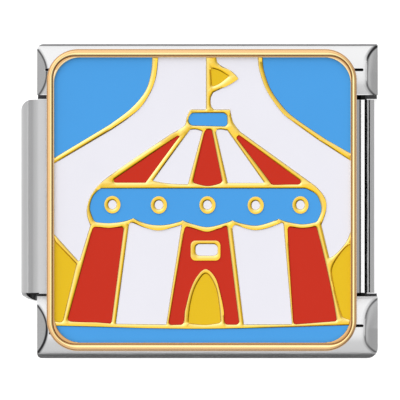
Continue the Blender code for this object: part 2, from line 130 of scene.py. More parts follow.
class Graph:
    """The node tree of one material or world, built by calls that read like a formula."""

    def __init__(self, tree: bpy.types.NodeTree) -> None:
        """Starts from an empty tree."""
        self.tree = tree
        tree.nodes.clear()

    def node(
        self, kind: str, settings: dict[str, Any] | None = None, **inputs: Any
    ) -> bpy.types.Node:
        """Adds a node.

        Args:
            kind: the node's type.
            settings: the node's own properties, and under "stops" a ramp's stops.
            inputs: a value or a link for each socket, with _ in the name for each space.

        Returns:
            The new node.
        """
        made = self.tree.nodes.new(kind)
        for name, value in (settings or {}).items():
            if name == "stops":
                self._set_stops(made.color_ramp, value)
            else:
                setattr(made, name, value)
        for name, value in inputs.items():
            self.feed(made, name.replace("_", " "), value)
        return made

    @staticmethod
    def _set_stops(ramp: bpy.types.ColorRamp, stops: Sequence[tuple[float, Any]]) -> None:
        """Gives a ramp its stops.

        Args:
            ramp: the ramp.
            stops: each place, and its colour or grey.
        """
        while len(ramp.elements) < len(stops):
            ramp.elements.new(0.5)
        for element, (place, value) in zip(ramp.elements, stops):
            element.position = place
            element.color = (*value, 1.0) if isinstance(value, tuple) else (value, value, value, 1.0)

    def feed(self, node: bpy.types.Node, name: str | int, value: Any) -> None:
        """Fills an input socket.

        Args:
            node: the socket's node.
            name: the socket's name or number.
            value: what it is set to, or a Flow or another socket that is linked to it.
        """
        source = value.socket if isinstance(value, Flow) else value
        if isinstance(source, bpy.types.NodeSocket):
            self.tree.links.new(source, node.inputs[name])
        else:
            node.inputs[name].default_value = source

    def maths(
        self, operation: str, first: Flow | float, second: Flow | float, clamp: bool = False
    ) -> Flow:
        """One Math node.

        Args:
            operation: the node's operation.
            first: its first value.
            second: its second value.
            clamp: whether the result is kept between 0 and 1.

        Returns:
            The node's result.
        """
        made = self.node("ShaderNodeMath", {"operation": operation, "use_clamp": clamp})
        self.feed(made, 0, first)
        self.feed(made, 1, second)
        return Flow(self, made.outputs[0])

    def mix_colour(self, factor: Flow | float, first: Any, second: Any, blend: str = "MIX") -> Flow:
        """Mixes two colours.

        Args:
            factor: the second colour's share.
            first: the first colour, or a link to it.
            second: the second colour, or a link to it.
            blend: how they are blended.

        Returns:
            The mixed colour.
        """
        made = self.node("ShaderNodeMix", {"data_type": "RGBA", "blend_type": blend})
        self.feed(made, 0, factor)
        self.feed(made, 6, (*first, 1.0) if isinstance(first, tuple) else first)
        self.feed(made, 7, (*second, 1.0) if isinstance(second, tuple) else second)
        return Flow(self, made.outputs[2])

    def noise(self, noise: "Noise") -> Flow:
        """Noise in the piece's own space.

        Args:
            noise: its waves and layers.

        Returns:
            A value about 0.5.
        """
        place = self.node("ShaderNodeTexCoord").outputs["Object"]
        per_metre = tuple(np.broadcast_to(noise.per_mm, 3) / MM)
        stretched = self.node("ShaderNodeMapping", Vector=place, Scale=per_metre).outputs[0]
        layers = {"Detail": noise.detail, "Roughness": noise.rough}
        made = self.node("ShaderNodeTexNoise", Vector=stretched, Scale=1.0, **layers)
        return Flow(self, made.outputs["Fac"])

    def attribute(self, name: str) -> Flow:
        """A number that the mesh holds at each point."""
        made = self.node("ShaderNodeAttribute", {"attribute_name": name})
        return Flow(self, made.outputs["Fac"])

    def ramp(self, value: Flow, stops: Sequence[tuple[float, Any]], interpolation: str = "EASE") -> Flow:
        """Turns a value into a colour along stops.

        Args:
            value: the value read.
            stops: each place, and its colour or grey.
            interpolation: how the ramp runs between stops.

        Returns:
            The ramp's colour.
        """
        made = self.node("ShaderNodeValToRGB", {"stops": stops}, Fac=value)
        made.color_ramp.interpolation = interpolation
        return Flow(self, made.outputs["Color"])

    def bump(self, height: Flow, distance: float) -> Flow:
        """Relief from a height of 0 to 1 over a distance in millimetres."""
        made = self.node("ShaderNodeBump", Strength=1.0, Distance=distance * MM, Height=height)
        return Flow(self, made.outputs[0])


# Finishes


@dataclass(frozen=True)
class Noise:
    """Waves per millimetre, one number or three, how many finer layers, and how strong they are."""

    per_mm: Triple | float
    detail: float = 2.0
    rough: float = 0.5


def toned(colour: Colour, share: float) -> Colour:
    """A colour times a share, none of its parts over 1."""
    return tuple(min(part * share, 1.0) for part in colour)


@dataclass(frozen=True, kw_only=True)
class Finish:
    """A material by name, whose shader sockets each kind of finish fills in its own way."""

    name: str

    def sockets(self, graph: Graph) -> dict[str, Any]:
        """What each socket of the Principled shader is set or linked to."""
        raise NotImplementedError

    def build(self) -> bpy.types.Material:
        """Makes the material.

        Returns:
            The material.
        """
        material = bpy.data.materials.new(self.name)
        material.use_nodes = True
        graph = Graph(material.node_tree)
        shader = graph.node("ShaderNodeBsdfPrincipled")
        graph.node("ShaderNodeOutputMaterial", Surface=shader.outputs[0])
        for socket, value in self.sockets(graph).items():
            graph.feed(shader, socket, value)
        return material


@dataclass(frozen=True, kw_only=True)
class SteelFinish(Finish):
    """Polished stainless steel with fine drawing lines and faint smears, darkened by the piece's painted
    shade.
    """

    colour: Colour = (0.66, 0.66, 0.665)
    painted_shade_colour: Colour = (0.025, 0.025, 0.027)
    has_painted_shade: bool = False
    smears: Noise = Noise(0.9, 4.0, 0.55)
    smear_tones: Point = (0.965, 1.03)
    lines: Noise = Noise((1.2, 26.0, 26.0), 3.0, 0.6)
    line_depth: float = 0.0012
    roughness: float = 0.15
    smear_roughness: float = 0.05
    line_roughness: float = 0.04

    def sockets(self, graph: Graph) -> dict[str, Any]:
        """Lines lift the relief and the roughness, smears vary both tone and gloss.

        Args:
            graph: the material's graph.

        Returns:
            What each socket is set or linked to.
        """
        lines = graph.noise(self.lines)
        smears = graph.noise(self.smears)
        tone = graph.mix_colour(smears, *(toned(self.colour, share) for share in self.smear_tones))
        # Painted shade: the piece's attribute darkens the tone towards near black where shade would fall.
        if self.has_painted_shade:
            tone = graph.mix_colour(graph.attribute("painted_shade"), tone, self.painted_shade_colour)
        smeared = self.roughness + (smears - 0.5) * self.smear_roughness
        return {
            "Base Color": tone,
            "Metallic": 1.0,
            "Roughness": smeared + (lines - 0.5) * self.line_roughness,
            "Normal": graph.bump(lines, self.line_depth),
        }


@dataclass(frozen=True, kw_only=True)
class PlatingFinish(Finish):
    """Polished gold plating, whose gloss varies in patches under a fine grain."""

    patches: Noise = Noise(1.1, 3.0)
    grain: Noise = Noise(16.0)
    relief: float = 0.001
    roughness: float = 0.2
    patch_roughness: float = 0.06

    def tone(self, graph: Graph, patches: Flow) -> Flow:
        """The plating's colour, given its patches."""
        raise NotImplementedError

    def sockets(self, graph: Graph) -> dict[str, Any]:
        """Patches vary tone and gloss, and the grain is relief.

        Args:
            graph: the material's graph.

        Returns:
            What each socket is set or linked to.
        """
        patches = graph.noise(self.patches)
        return {
            "Base Color": self.tone(graph, patches),
            "Metallic": 1.0,
            "Roughness": self.roughness + (patches - 0.5) * self.patch_roughness,
            "Normal": graph.bump(graph.noise(self.grain), self.relief),
        }


@dataclass(frozen=True, kw_only=True)
class WireFinish(PlatingFinish):
    """Yellow gold with a painted highlight on slopes that face up and left, and painted shade with a darker
    painted shadow at the foot on the other side.
    """

    name: str = "gold_wire"
    patches: Noise = Noise(1.6, 3.0)
    grain: Noise = Noise(14.0)
    relief: float = 0.0015
    colour: Colour = (0.78, 0.54, 0.095)
    warm: Colour = (0.74, 0.5, 0.075)
    # The next colour is a painted highlight; deep is painted shade, and foot a darker painted shadow along
    # the wire's foot.
    painted_highlight: Colour = (0.92, 0.74, 0.3)
    deep: Colour = (0.96, 0.58, 0.01)
    foot: Colour = (0.4, 0.22, 0.0)
    foot_shadow_from: float = 0.9

    def tone(self, graph: Graph, patches: Flow) -> Flow:
        """Mixes by the piece's painted light: above 0 a painted highlight, below 0 painted shade, and near
        -1 the darker painted shadow of the foot.

        Args:
            graph: the material's graph.
            patches: its patches.

        Returns:
            The colour.
        """
        painted_light = graph.attribute("painted_light")
        painted_shade_share = 0.0 - painted_light
        tone = graph.mix_colour(patches, self.colour, self.warm)
        tone = graph.mix_colour(painted_light.clamped(), tone, self.painted_highlight)
        tone = graph.mix_colour(painted_shade_share.clamped(), tone, self.deep)
        foot_shadow_share = ((painted_shade_share - self.foot_shadow_from) / (1.0 - self.foot_shadow_from)).clamped()
        return graph.mix_colour(foot_shadow_share, tone, self.foot)


@dataclass(frozen=True, kw_only=True)
class PaintedBandFinish(PlatingFinish):
    """Rose gold whose tone changes across a section, from its outer edge, 0, to its inner edge, 1, in bands
    of painted highlight and painted shade.
    """

    bands: tuple[tuple[float, Colour], ...]
    patch_shade: float = 0.05
    patch_stops: tuple[Point, ...] = ((0.3, 0.7), (0.7, 1.0))

    def tone(self, graph: Graph, patches: Flow) -> Flow:
        """The bands' colours, shaded a little by the patches."""
        painted_bands = graph.ramp(graph.attribute("across"), self.bands)
        return graph.mix_colour(self.patch_shade, painted_bands, graph.ramp(patches, self.patch_stops), "MULTIPLY")


@dataclass(frozen=True, kw_only=True)
class EnamelFinish(Finish):
    """Fired enamel: a clear glossy skin over a colour that clouds a little, with painted shade at its edge.
    """

    colour: Colour
    clouds: Noise = Noise(0.8, 4.0, 0.6)
    cloud_tones: Point = (0.98, 1.02)
    edge_painted_shade: float = 0.95
    specular: float = 0.04
    roughness: float = 0.16
    cloud_roughness: float = 0.05
    ripples: Noise = Noise(1.5)
    ripple_depth: float = 0.0006

    def sockets(self, graph: Graph) -> dict[str, Any]:
        """The clouding comes from noise, the painted shade at the edge from the piece's attribute.

        Args:
            graph: the material's graph.

        Returns:
            What each socket is set or linked to.
        """
        clouds = graph.noise(self.clouds)
        deep, pale, edge = (toned(self.colour, share) for share in (*self.cloud_tones, self.edge_painted_shade))
        tone = graph.mix_colour(clouds, deep, pale)
        return {
            "Base Color": graph.mix_colour(graph.attribute("edge"), tone, edge),
            "Metallic": 0.0,
            "Specular IOR Level": self.specular,
            "Roughness": self.roughness + (clouds - 0.5) * self.cloud_roughness,
            "Normal": graph.bump(graph.noise(self.ripples), self.ripple_depth),
        }


@dataclass(frozen=True, kw_only=True)
class FloorFinish(Finish):
    """White that glows a little, so that no shadow shows."""

    name: str = "floor_white"
    levels: Point = (0.7, 0.71)
    grain: Noise = Noise(0.4)
    roughness: float = 0.9
    glow: float = 0.64

    def sockets(self, graph: Graph) -> dict[str, Any]:
        """A faint grain between two levels of white.

        Args:
            graph: the material's graph.

        Returns:
            What each socket is set or linked to.
        """
        sleeve_shade, pale = ((level,) * 3 for level in self.levels)
        return {
            "Base Color": graph.mix_colour(graph.noise(self.grain), sleeve_shade, pale),
            "Roughness": self.roughness,
            "Emission Color": (1.0, 1.0, 1.0, 1.0),
            "Emission Strength": self.glow,
        }


BRIGHT_STEEL = SteelFinish(name="steel_bright", has_painted_shade=True)
SLEEVE_STEEL = SteelFinish(
    name="steel_sleeve", colour=(0.8, 0.8, 0.805), lines=Noise((26.0, 1.2, 26.0), 3.0, 0.6), has_painted_shade=True
)
# Nearly black pin and springs: painted shade, so that what shows of them through gaps and slits looks dark.
SHADED_PIN_STEEL = SteelFinish(name="steel_pin_painted_shade", colour=(0.02, 0.02, 0.02), roughness=0.32)
SHADED_SPRING_STEEL = SteelFinish(
    name="steel_spring_painted_shade", colour=(0.02, 0.02, 0.021), lines=Noise((0.8, 30.0, 30.0), 3.0, 0.6), roughness=0.3
)
# Painted shade on the lip's outer side, next to the groove, paling towards its inner edge.
LIP_GOLD = PaintedBandFinish(
    name="gold_lip",
    bands=(
        (0.0, (0.5, 0.29, 0.12)), (0.5, (0.62, 0.36, 0.15)), (0.72, (0.85, 0.66, 0.38)),
        (1.0, (0.85, 0.66, 0.38)),
    ),
)
# Painted shade at the outer edge and in a thin band before the crest, a painted highlight on the crest and
# its inner shoulder, and painted shade in the groove at the inner edge.
BEZEL_GOLD = PaintedBandFinish(
    name="gold_bezel",
    bands=(
        (0.0, (0.42, 0.22, 0.07)), (0.14, (0.46, 0.25, 0.09)), (0.22, (0.78, 0.49, 0.24)),
        (0.42, (0.76, 0.47, 0.22)), (0.48, (0.6, 0.37, 0.15)), (0.55, (0.86, 0.68, 0.32)),
        (0.62, (0.93, 0.78, 0.4)), (0.8, (0.9, 0.74, 0.36)), (0.88, (0.62, 0.35, 0.15)),
        (1.0, (0.62, 0.35, 0.15)),
    ),
)
ENAMEL_COLOURS = {
    Slot.BLUE: (0.0745, 0.356, 0.798),
    Slot.RED: (0.588, 0.0325, 0.0153),
    Slot.WHITE: (0.84, 0.832, 0.898),
    Slot.YELLOW: (0.81, 0.523, 0.0183),
}


# Outlines in the plane


def smooth_path(points: Outline, steps: int, closed: bool = True) -> np.ndarray:
    """Follows an outline: cubic Catmull-Rom between its points, with a break at each corner.

    Args:
        points: places in hundredths; one with three numbers is a corner, the third its rounding.
        steps: points made for each of its stretches.
        closed: whether the last point runs on to the first.

    Returns:
        The points in millimetres, an array of N by 2.
    """
    place = np.array([point[:2] for point in points], float) * HUNDREDTH
    corner = np.array([len(point) == 3 for point in points])[:, None]
    following = np.roll(place, -1, 0)
    before = np.where(corner, place, np.roll(place, 1, 0))
    after = np.where(np.roll(corner, -1, 0), following, np.roll(place, -2, 0))
    a, b, c, d = (value[:, None, :] for value in (before, place, following, after))
    t = (np.arange(steps) / steps)[None, :, None]
    curve = 0.5 * (2 * b + (c - a) * t + (2 * a - 5 * b + 4 * c - d) * t**2 + (3 * b - a - 3 * c + d) * t**3)
    path = curve.reshape(-1, 2)
    return path if closed else np.vstack([path[: (len(points) - 1) * steps], place[-1]])


def unit(vectors: np.ndarray) -> np.ndarray:
    """Each vector brought to length 1."""
    return vectors / np.maximum(np.linalg.norm(vectors, axis=-1, keepdims=True), TINY)


def signed_area(loop: np.ndarray) -> float:
    """Area of a closed outline, positive when it runs counter-clockwise."""
    following = np.roll(loop, -1, 0)
    return float(np.sum(loop[:, 0] * following[:, 1] - following[:, 0] * loop[:, 1])) / 2


def reach_along(loop: np.ndarray) -> np.ndarray:
    """The distance along a closed loop to each of its points, and last to the first one again."""
    return np.concatenate([[0.0], np.cumsum(np.linalg.norm(np.roll(loop, -1, 0) - loop, axis=1))])


def places_along(loop: np.ndarray, distance: np.ndarray) -> np.ndarray:
    """Finds places along a closed loop, each on the straight line between two of its points.

    Args:
        loop: the loop.
        distance: how far along it each place lies, counted round again past its length.

    Returns:
        The places.
    """
    reached = reach_along(loop)
    ring = np.vstack([loop, loop[:1]])
    wrapped = np.mod(distance, reached[-1])
    return np.stack([np.interp(wrapped, reached, ring[:, axis]) for axis in (0, 1)], -1)


def spread(loop: np.ndarray, spacing: float) -> np.ndarray:
    """Points evenly spaced along a closed loop."""
    return places_along(loop, np.arange(0, reach_along(loop)[-1], spacing))


def cell_loop(points: Outline, steps: int = 8, corner_steps: int = 6) -> np.ndarray:
    """Closed outline of an enamel cell whose marked corners are rounded.

    A corner's curve is a cubic that leaves both sides where a circle of the corner's radius would
    touch them. Each point is known by how far along the outline it lies, so the curves' points are
    sorted in among those of the outline that no curve takes the place of.

    Args:
        points: the outline, as smooth_path takes it.
        steps: points made for each stretch.
        corner_steps: steps of each corner's curve.

    Returns:
        The points in millimetres, counter-clockwise.
    """
    path = smooth_path(points, steps)
    marked = [index for index, point in enumerate(points) if len(point) == 3 and point[2]]
    marks = np.array(marked, int) * steps
    radius = np.array([points[index][2] for index in marked], float) * HUNDREDTH
    reached = reach_along(path)
    total = reached[-1]
    here = path[marks]
    back = unit(path[marks - 1] - here)
    ahead = unit(path[(marks + 1) % len(path)] - here)
    half = np.arccos(np.clip(np.sum(back * ahead, axis=1), -1, 1)) / 2
    reach = radius / np.tan(half)
    middle = reached[marks]
    first, last = (places_along(path, middle + way * reach) for way in (-1, 1))
    lift = (4 / 3 * np.tan((math.pi / 2 - half) / 2) * radius)[:, None]
    first_handle = first + unit(here - first) * lift
    last_handle = last + unit(here - last) * lift
    t = np.linspace(0, 1, corner_steps + 1)[None, :, None]
    a, b, c, d = (value[:, None, :] for value in (first, first_handle, last_handle, last))
    curves = a * (1 - t) ** 3 + 3 * b * t * (1 - t) ** 2 + 3 * c * t**2 * (1 - t) + d * t**3
    offsets = middle[:, None] + reach[:, None] * np.linspace(-1, 1, corner_steps + 1)[None, :]
    apart = np.abs(reached[:-1, None] - middle[None, :])
    apart = np.minimum(apart, total - apart)
    kept = np.all(apart > reach[None, :] + TINY, axis=1)
    places = np.vstack([path[kept], curves.reshape(-1, 2)])
    order = np.argsort(np.concatenate([reached[:-1][kept], np.mod(offsets, total).ravel()]), kind="stable")
    loop = places[order]
    return loop if signed_area(loop) > 0 else loop[::-1]


def rounded_rectangle(
    left: float, right: float, bottom: float, top: float, radius: float, steps: int = 24
) -> np.ndarray:
    """Rectangle with round corners: a quarter circle about each corner's centre.

    Args:
        left: its least X.
        right: its greatest X.
        bottom: its least Y.
        top: its greatest Y.
        radius: that of its corners.
        steps: steps of each corner.

    Returns:
        Its points, counter-clockwise.
    """
    turn = np.linspace(0, math.pi / 2, steps + 1)[None, :] + (np.arange(4) * math.pi / 2)[:, None]
    centre_x = np.array([right - radius, left + radius, left + radius, right - radius])[:, None]
    centre_y = np.array([top - radius, top - radius, bottom + radius, bottom + radius])[:, None]
    return np.stack([centre_x + radius * np.cos(turn), centre_y + radius * np.sin(turn)], -1).reshape(-1, 2)


def oval(centre: Point, half_size: Point, steps: int = 40) -> np.ndarray:
    """Counter-clockwise oval: the cosine and the sine of each turn times the half sizes."""
    turn = np.arange(steps) * (2 * math.pi / steps)
    return np.array(centre) + np.array(half_size) * np.stack([np.cos(turn), np.sin(turn)], -1)


def outward(loop: np.ndarray, least: float = 0.6) -> np.ndarray:
    """Outward mitre: the normal between two sides over the cosine of half the turn between them.

    Args:
        loop: a counter-clockwise loop.
        least: the least cosine, which keeps sharp corners from running out far.

    Returns:
        The way out at each point.
    """
    ahead = unit(np.roll(loop, -1, 0) - loop)
    behind = np.roll(ahead, 1, 0)
    normal = unit(np.stack([ahead[:, 1] + behind[:, 1], -ahead[:, 0] - behind[:, 0]], -1))
    stretch = np.maximum(normal[:, 0] * behind[:, 1] - normal[:, 1] * behind[:, 0], least)
    return normal / stretch[:, None]


def evened(values: np.ndarray, reach: int = 3) -> np.ndarray:
    """Smooths values round a loop, none to more than it was: the mean of its neighbours' least.

    Args:
        values: a value for each point.
        reach: how many neighbours count on each side.

    Returns:
        The smoothed values.
    """
    turns = range(-reach, reach + 1)
    least = np.min([np.roll(values, turn) for turn in turns], axis=0)
    return np.mean([np.roll(least, turn) for turn in turns], axis=0)


def shifted(loop: np.ndarray, distance: float, space: np.ndarray | float = 1.0) -> np.ndarray:
    """Moves a loop outwards by a distance, or inwards if negative, and less where it is narrow.

    A point may go most of the way to the middle of the largest circle that touches the loop there
    and holds no other point of it: the square of the distance to a point over twice its reach ahead.

    Args:
        loop: a counter-clockwise loop.
        distance: how far it moves.
        space: the most that each point may move.

    Returns:
        The moved loop, point for point.
    """
    normal = outward(loop)
    way = unit(normal) * np.sign(distance)
    apart = spread(loop, PROBE_SPACING)[None, :, :] - loop[:, None, :]
    ahead = np.maximum(np.sum(apart * way[:, None, :], axis=2), TINY)
    nearest = np.min(np.sum(apart * apart, axis=2) / ahead, axis=1)
    room = evened(np.minimum(nearest * SHARE_OF_ROOM, space))
    return loop + normal * (np.sign(distance) * np.minimum(abs(distance), room))[:, None]


def to_space(loop: np.ndarray, height: float | np.ndarray) -> np.ndarray:
    """Gives the points of a loop in the plane a height."""
    return np.column_stack([loop, np.broadcast_to(height, len(loop))])


# Meshes


@dataclass
class Skin:
    """Points and faces of a mesh while it is put together."""

    points: list[np.ndarray] = field(default_factory=list)
    faces: list[np.ndarray] = field(default_factory=list)
    count: int = 0

    def add(self, points: np.ndarray) -> np.ndarray:
        """Adds points.

        Args:
            points: their places, an array of N by 3.

        Returns:
            Their numbers.
        """
        numbers = np.arange(self.count, self.count + len(points))
        self.points.append(np.asarray(points, float))
        self.count += len(points)
        return numbers

    def face_list(self) -> list[list[int]]:
        """All faces, as Blender takes them."""
        return [face for block in self.faces for face in block.tolist()]

    def bands(self, rows: Sequence[np.ndarray], flipped: bool = False) -> None:
        """Joins each closed row of numbers with the next one.

        Args:
            rows: the rows. The faces look to the right of the way that they run.
            flipped: whether the faces look to the left instead.
        """
        for row, following in zip(rows, rows[1:]):
            lower, upper = (following, row) if flipped else (row, following)
            self.faces.append(np.stack([lower, np.roll(lower, -1), np.roll(upper, -1), upper], -1))

    def fill(self, loops: Sequence[np.ndarray], numbers: Sequence[np.ndarray], upwards: bool) -> None:
        """Fills between flat loops, which lie inside one another with every second space left open.

        Args:
            loops: the loops in the plane.
            numbers: the numbers of each loop's points.
            upwards: whether the faces look up.
        """
        flat = np.vstack(loops)
        known = np.concatenate(numbers)
        starts = np.cumsum([0] + [len(loop) for loop in loops])
        rings = [list(range(start, end)) for start, end in zip(starts, starts[1:])]
        corners = [Vector(point) for point in flat.tolist()]
        filled = delaunay_2d_cdt(corners, [], rings, 0, MERGED_BELOW, True)
        sources = np.array([source[0] if source else -1 for source in filled[3]])
        inside = np.array([len(owners) % 2 == 1 for owners in filled[5]])
        triangles = np.array(filled[2])[inside]
        if np.any(sources[triangles] < 0):
            crossings = [tuple(filled[0][index]) for index in np.flatnonzero(sources < 0)]
            raise ValueError(f"outlines of the picture cross at {crossings}")
        placed = known[sources[triangles]]
        self.faces.append(placed if upwards else placed[:, ::-1])


def new_object(
    name: str,
    points: np.ndarray,
    faces: Sequence[Sequence[int]],
    attributes: dict[str, np.ndarray] | None = None,
) -> bpy.types.Object:
    """Makes an object.

    Args:
        name: its name.
        points: its points in millimetres.
        faces: its faces.
        attributes: numbers held at each point, by name.

    Returns:
        The object, in the scene.
    """
    mesh = bpy.data.meshes.new(name)
    mesh.from_pydata((points * MM).tolist(), [], faces)
    for key, values in (attributes or {}).items():
        mesh.attributes.new(key, "FLOAT", "POINT").data.foreach_set("value", values.astype(np.float32))
    made = bpy.data.objects.new(name, mesh)
    bpy.context.scene.collection.objects.link(made)
    return made


def make_piece(
    name: str,
    skin: Skin,
    material: bpy.types.Material,
    body: Body,
    replaces: Sequence[str] = (),
    attributes: dict[str, np.ndarray] | None = None,
    sharp: float = 50.0,
) -> bpy.types.Object:
    """Makes a piece of the link from points in millimetres, and puts it on its body.

    Args:
        name: the piece's name.
        skin: its points and faces.
        material: its finish.
        body: the body it moves with.
        replaces: the CAD nodes it stands for.
        attributes: numbers held at each point, by name.
        sharp: the angle in degrees past which an edge is sharp.

    Returns:
        The piece.
    """
    faces = skin.face_list()
    piece = new_object(name, np.vstack(skin.points), faces, attributes)
    piece.data.shade_smooth()
    piece.data.set_sharp_from_angle(angle=math.radians(sharp))
    piece.data.materials.append(material)
    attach(piece, body.value)
    if replaces:
        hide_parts(*replaces)
    log.info("%s: %d points, %d faces, on %s", name, skin.count, len(faces), body.value)
    return piece


def line_points(start: Point, end: Point, steps: int) -> np.ndarray:
    """Points of a straight stretch, its end left to what follows."""
    return np.array(start) + (np.array(end) - np.array(start)) * (np.arange(steps) / steps)[:, None]


def arc_points(centre: Point, radius: float, start: float, end: float, steps: int) -> np.ndarray:
    """Points of an arc between two angles in degrees, its end left to what follows."""
    turn = np.radians(start + (end - start) * np.arange(steps) / steps)
    return np.stack([centre[0] + radius * np.cos(turn), centre[1] + radius * np.sin(turn)], -1)


def bend_points(start: Point, corner: Point, end: Point, steps: int) -> np.ndarray:
    """Points of a bend, the quadratic curve a (1 - t)^2 + 2 b t (1 - t) + c t^2.

    Args:
        start: a, where it begins.
        corner: b, the place that it heads for.
        end: c, where it ends, left to what follows.
        steps: its steps.

    Returns:
        The points.
    """
    t = (np.arange(steps) / steps)[:, None]
    a, b, c = (np.array(point) for point in (start, corner, end))
    return a * (1 - t) ** 2 + 2 * b * t * (1 - t) + c * t**2


def sheet_faces(kept: np.ndarray, layers: int) -> np.ndarray:
    """Faces of a sheet on a grid, some of whose cells are cut out.

    The sheet's points are numbered layer by layer, and in a layer row by row. A cell has a face on
    the first and on the last layer, and a side has one between each two layers where the mask says
    that the cell beyond it is cut out.

    Args:
        kept: which cells are kept, one row less and one column less than the points.
        layers: the number of layers.

    Returns:
        The faces, four numbers each.
    """
    rows, columns = kept.shape[0] + 1, kept.shape[1] + 1
    size = rows * columns
    row, column = np.nonzero(kept)
    corner = row * columns + column
    cell = np.stack([corner, corner + columns, corner + columns + 1, corner + 1], -1)
    last = (layers - 1) * size
    faces = [cell, cell[:, ::-1] + last]
    padded = np.pad(kept, 1)
    beyond = (
        (padded[1:-1, :-2], 0, columns),
        (padded[2:, 1:-1], columns, columns + 1),
        (padded[1:-1, 2:], columns + 1, 1),
        (padded[:-2, 1:-1], 1, 0),
    )
    for neighbour, start, end in beyond:
        row, column = np.nonzero(kept & ~neighbour)
        corner = row * columns + column
        first, second = corner + start, corner + end
        side = np.stack([second, first, first + size, second + size], -1)
        faces.extend(side + size * layer for layer in range(layers - 1))
    return np.vstack(faces)


def sheet_skin(points: np.ndarray, kept: np.ndarray) -> tuple[Skin, np.ndarray]:
    """Makes a sheet's skin and drops the points that it doesn't use.

    Args:
        points: places by layer, row and column.
        kept: which cells are kept.

    Returns:
        The skin, and the numbers of the points it keeps.
    """
    faces = sheet_faces(kept, len(points))
    flat = points.reshape(-1, 3)
    used, renumbered = np.unique(faces, return_inverse=True)
    faces = renumbered.reshape(faces.shape)
    a, b, c, d = (flat[used][faces[:, index]] for index in range(4))
    volume = np.sum(np.cross(a, b) * c) + np.sum(np.cross(a, c) * d)
    skin = Skin()
    skin.add(flat[used])
    skin.faces.append(faces if volume > 0 else faces[:, ::-1])
    return skin, used


def cutter(name: str, loop: np.ndarray, low: float, high: float, along: str = "Z") -> bpy.types.Object:
    """Makes a closed prism to cut with, whose full painted shade leaves the cut walls dark.

    Args:
        name: its name.
        loop: its outline, counter-clockwise.
        low: where it begins.
        high: where it ends.
        along: the axis that it runs along, Z or Y, where the outline's places are X and Z.

    Returns:
        The prism.
    """
    skin = Skin()
    lower = skin.add(to_space(loop, low))
    upper = skin.add(to_space(loop, high))
    skin.bands([lower, upper])
    skin.fill([loop], [lower], upwards=False)
    skin.fill([loop], [upper], upwards=True)
    points = np.vstack(skin.points)
    if along == "Y":
        points = np.stack([points[:, 0], -points[:, 2], points[:, 1]], -1)
    return new_object(name, points, skin.face_list(), {"painted_shade": np.ones(len(points))})


def cut_away(piece: bpy.types.Object, cutters: Sequence[bpy.types.Object]) -> None:
    """Cuts the cutters out of a piece for good, and removes them.

    Args:
        piece: the piece.
        cutters: the prisms to cut with.
    """
    for tool in cutters:
        modifier = piece.modifiers.new(tool.name, "BOOLEAN")
        modifier.operation = "DIFFERENCE"
        modifier.solver = "EXACT"
        modifier.object = tool
    bpy.context.view_layer.update()
    cut_mesh = bpy.data.meshes.new_from_object(piece.evaluated_get(bpy.context.evaluated_depsgraph_get()))
    piece.modifiers.clear()
    piece.data = cut_mesh
    for tool in cutters:
        bpy.data.objects.remove(tool, do_unlink=True)


def round_edges(piece: bpy.types.Object, width: float, angle: float = 50.0, segments: int = 2) -> None:
    """Rounds a piece's sharp edges with a live bevel.

    Args:
        piece: the piece.
        width: the bevel's width in millimetres.
        angle: the angle in degrees past which an edge is rounded.
        segments: the bevel's steps.
    """
    modifier = piece.modifiers.new("rounded_edges", "BEVEL")
    modifier.width = width * MM
    modifier.segments = segments
    modifier.limit_method = "ANGLE"
    modifier.angle_limit = math.radians(angle)
    modifier.use_clamp_overlap = True


# Steel shell


@dataclass(frozen=True)
class ShellEnd:
    """One end of the shell. A pair holds the +Y ear's value, then the -Y ear's."""

    place: float
    inward: int
    recess: float
    corners: Point
    reaches: Point
    tilts: Point
    hollow: float
    # Painted shade over the bevel, then the strengths along Y of the painted dark line at the bevel's edge.
    shade: float
    painted_shade: tuple[Point, ...]


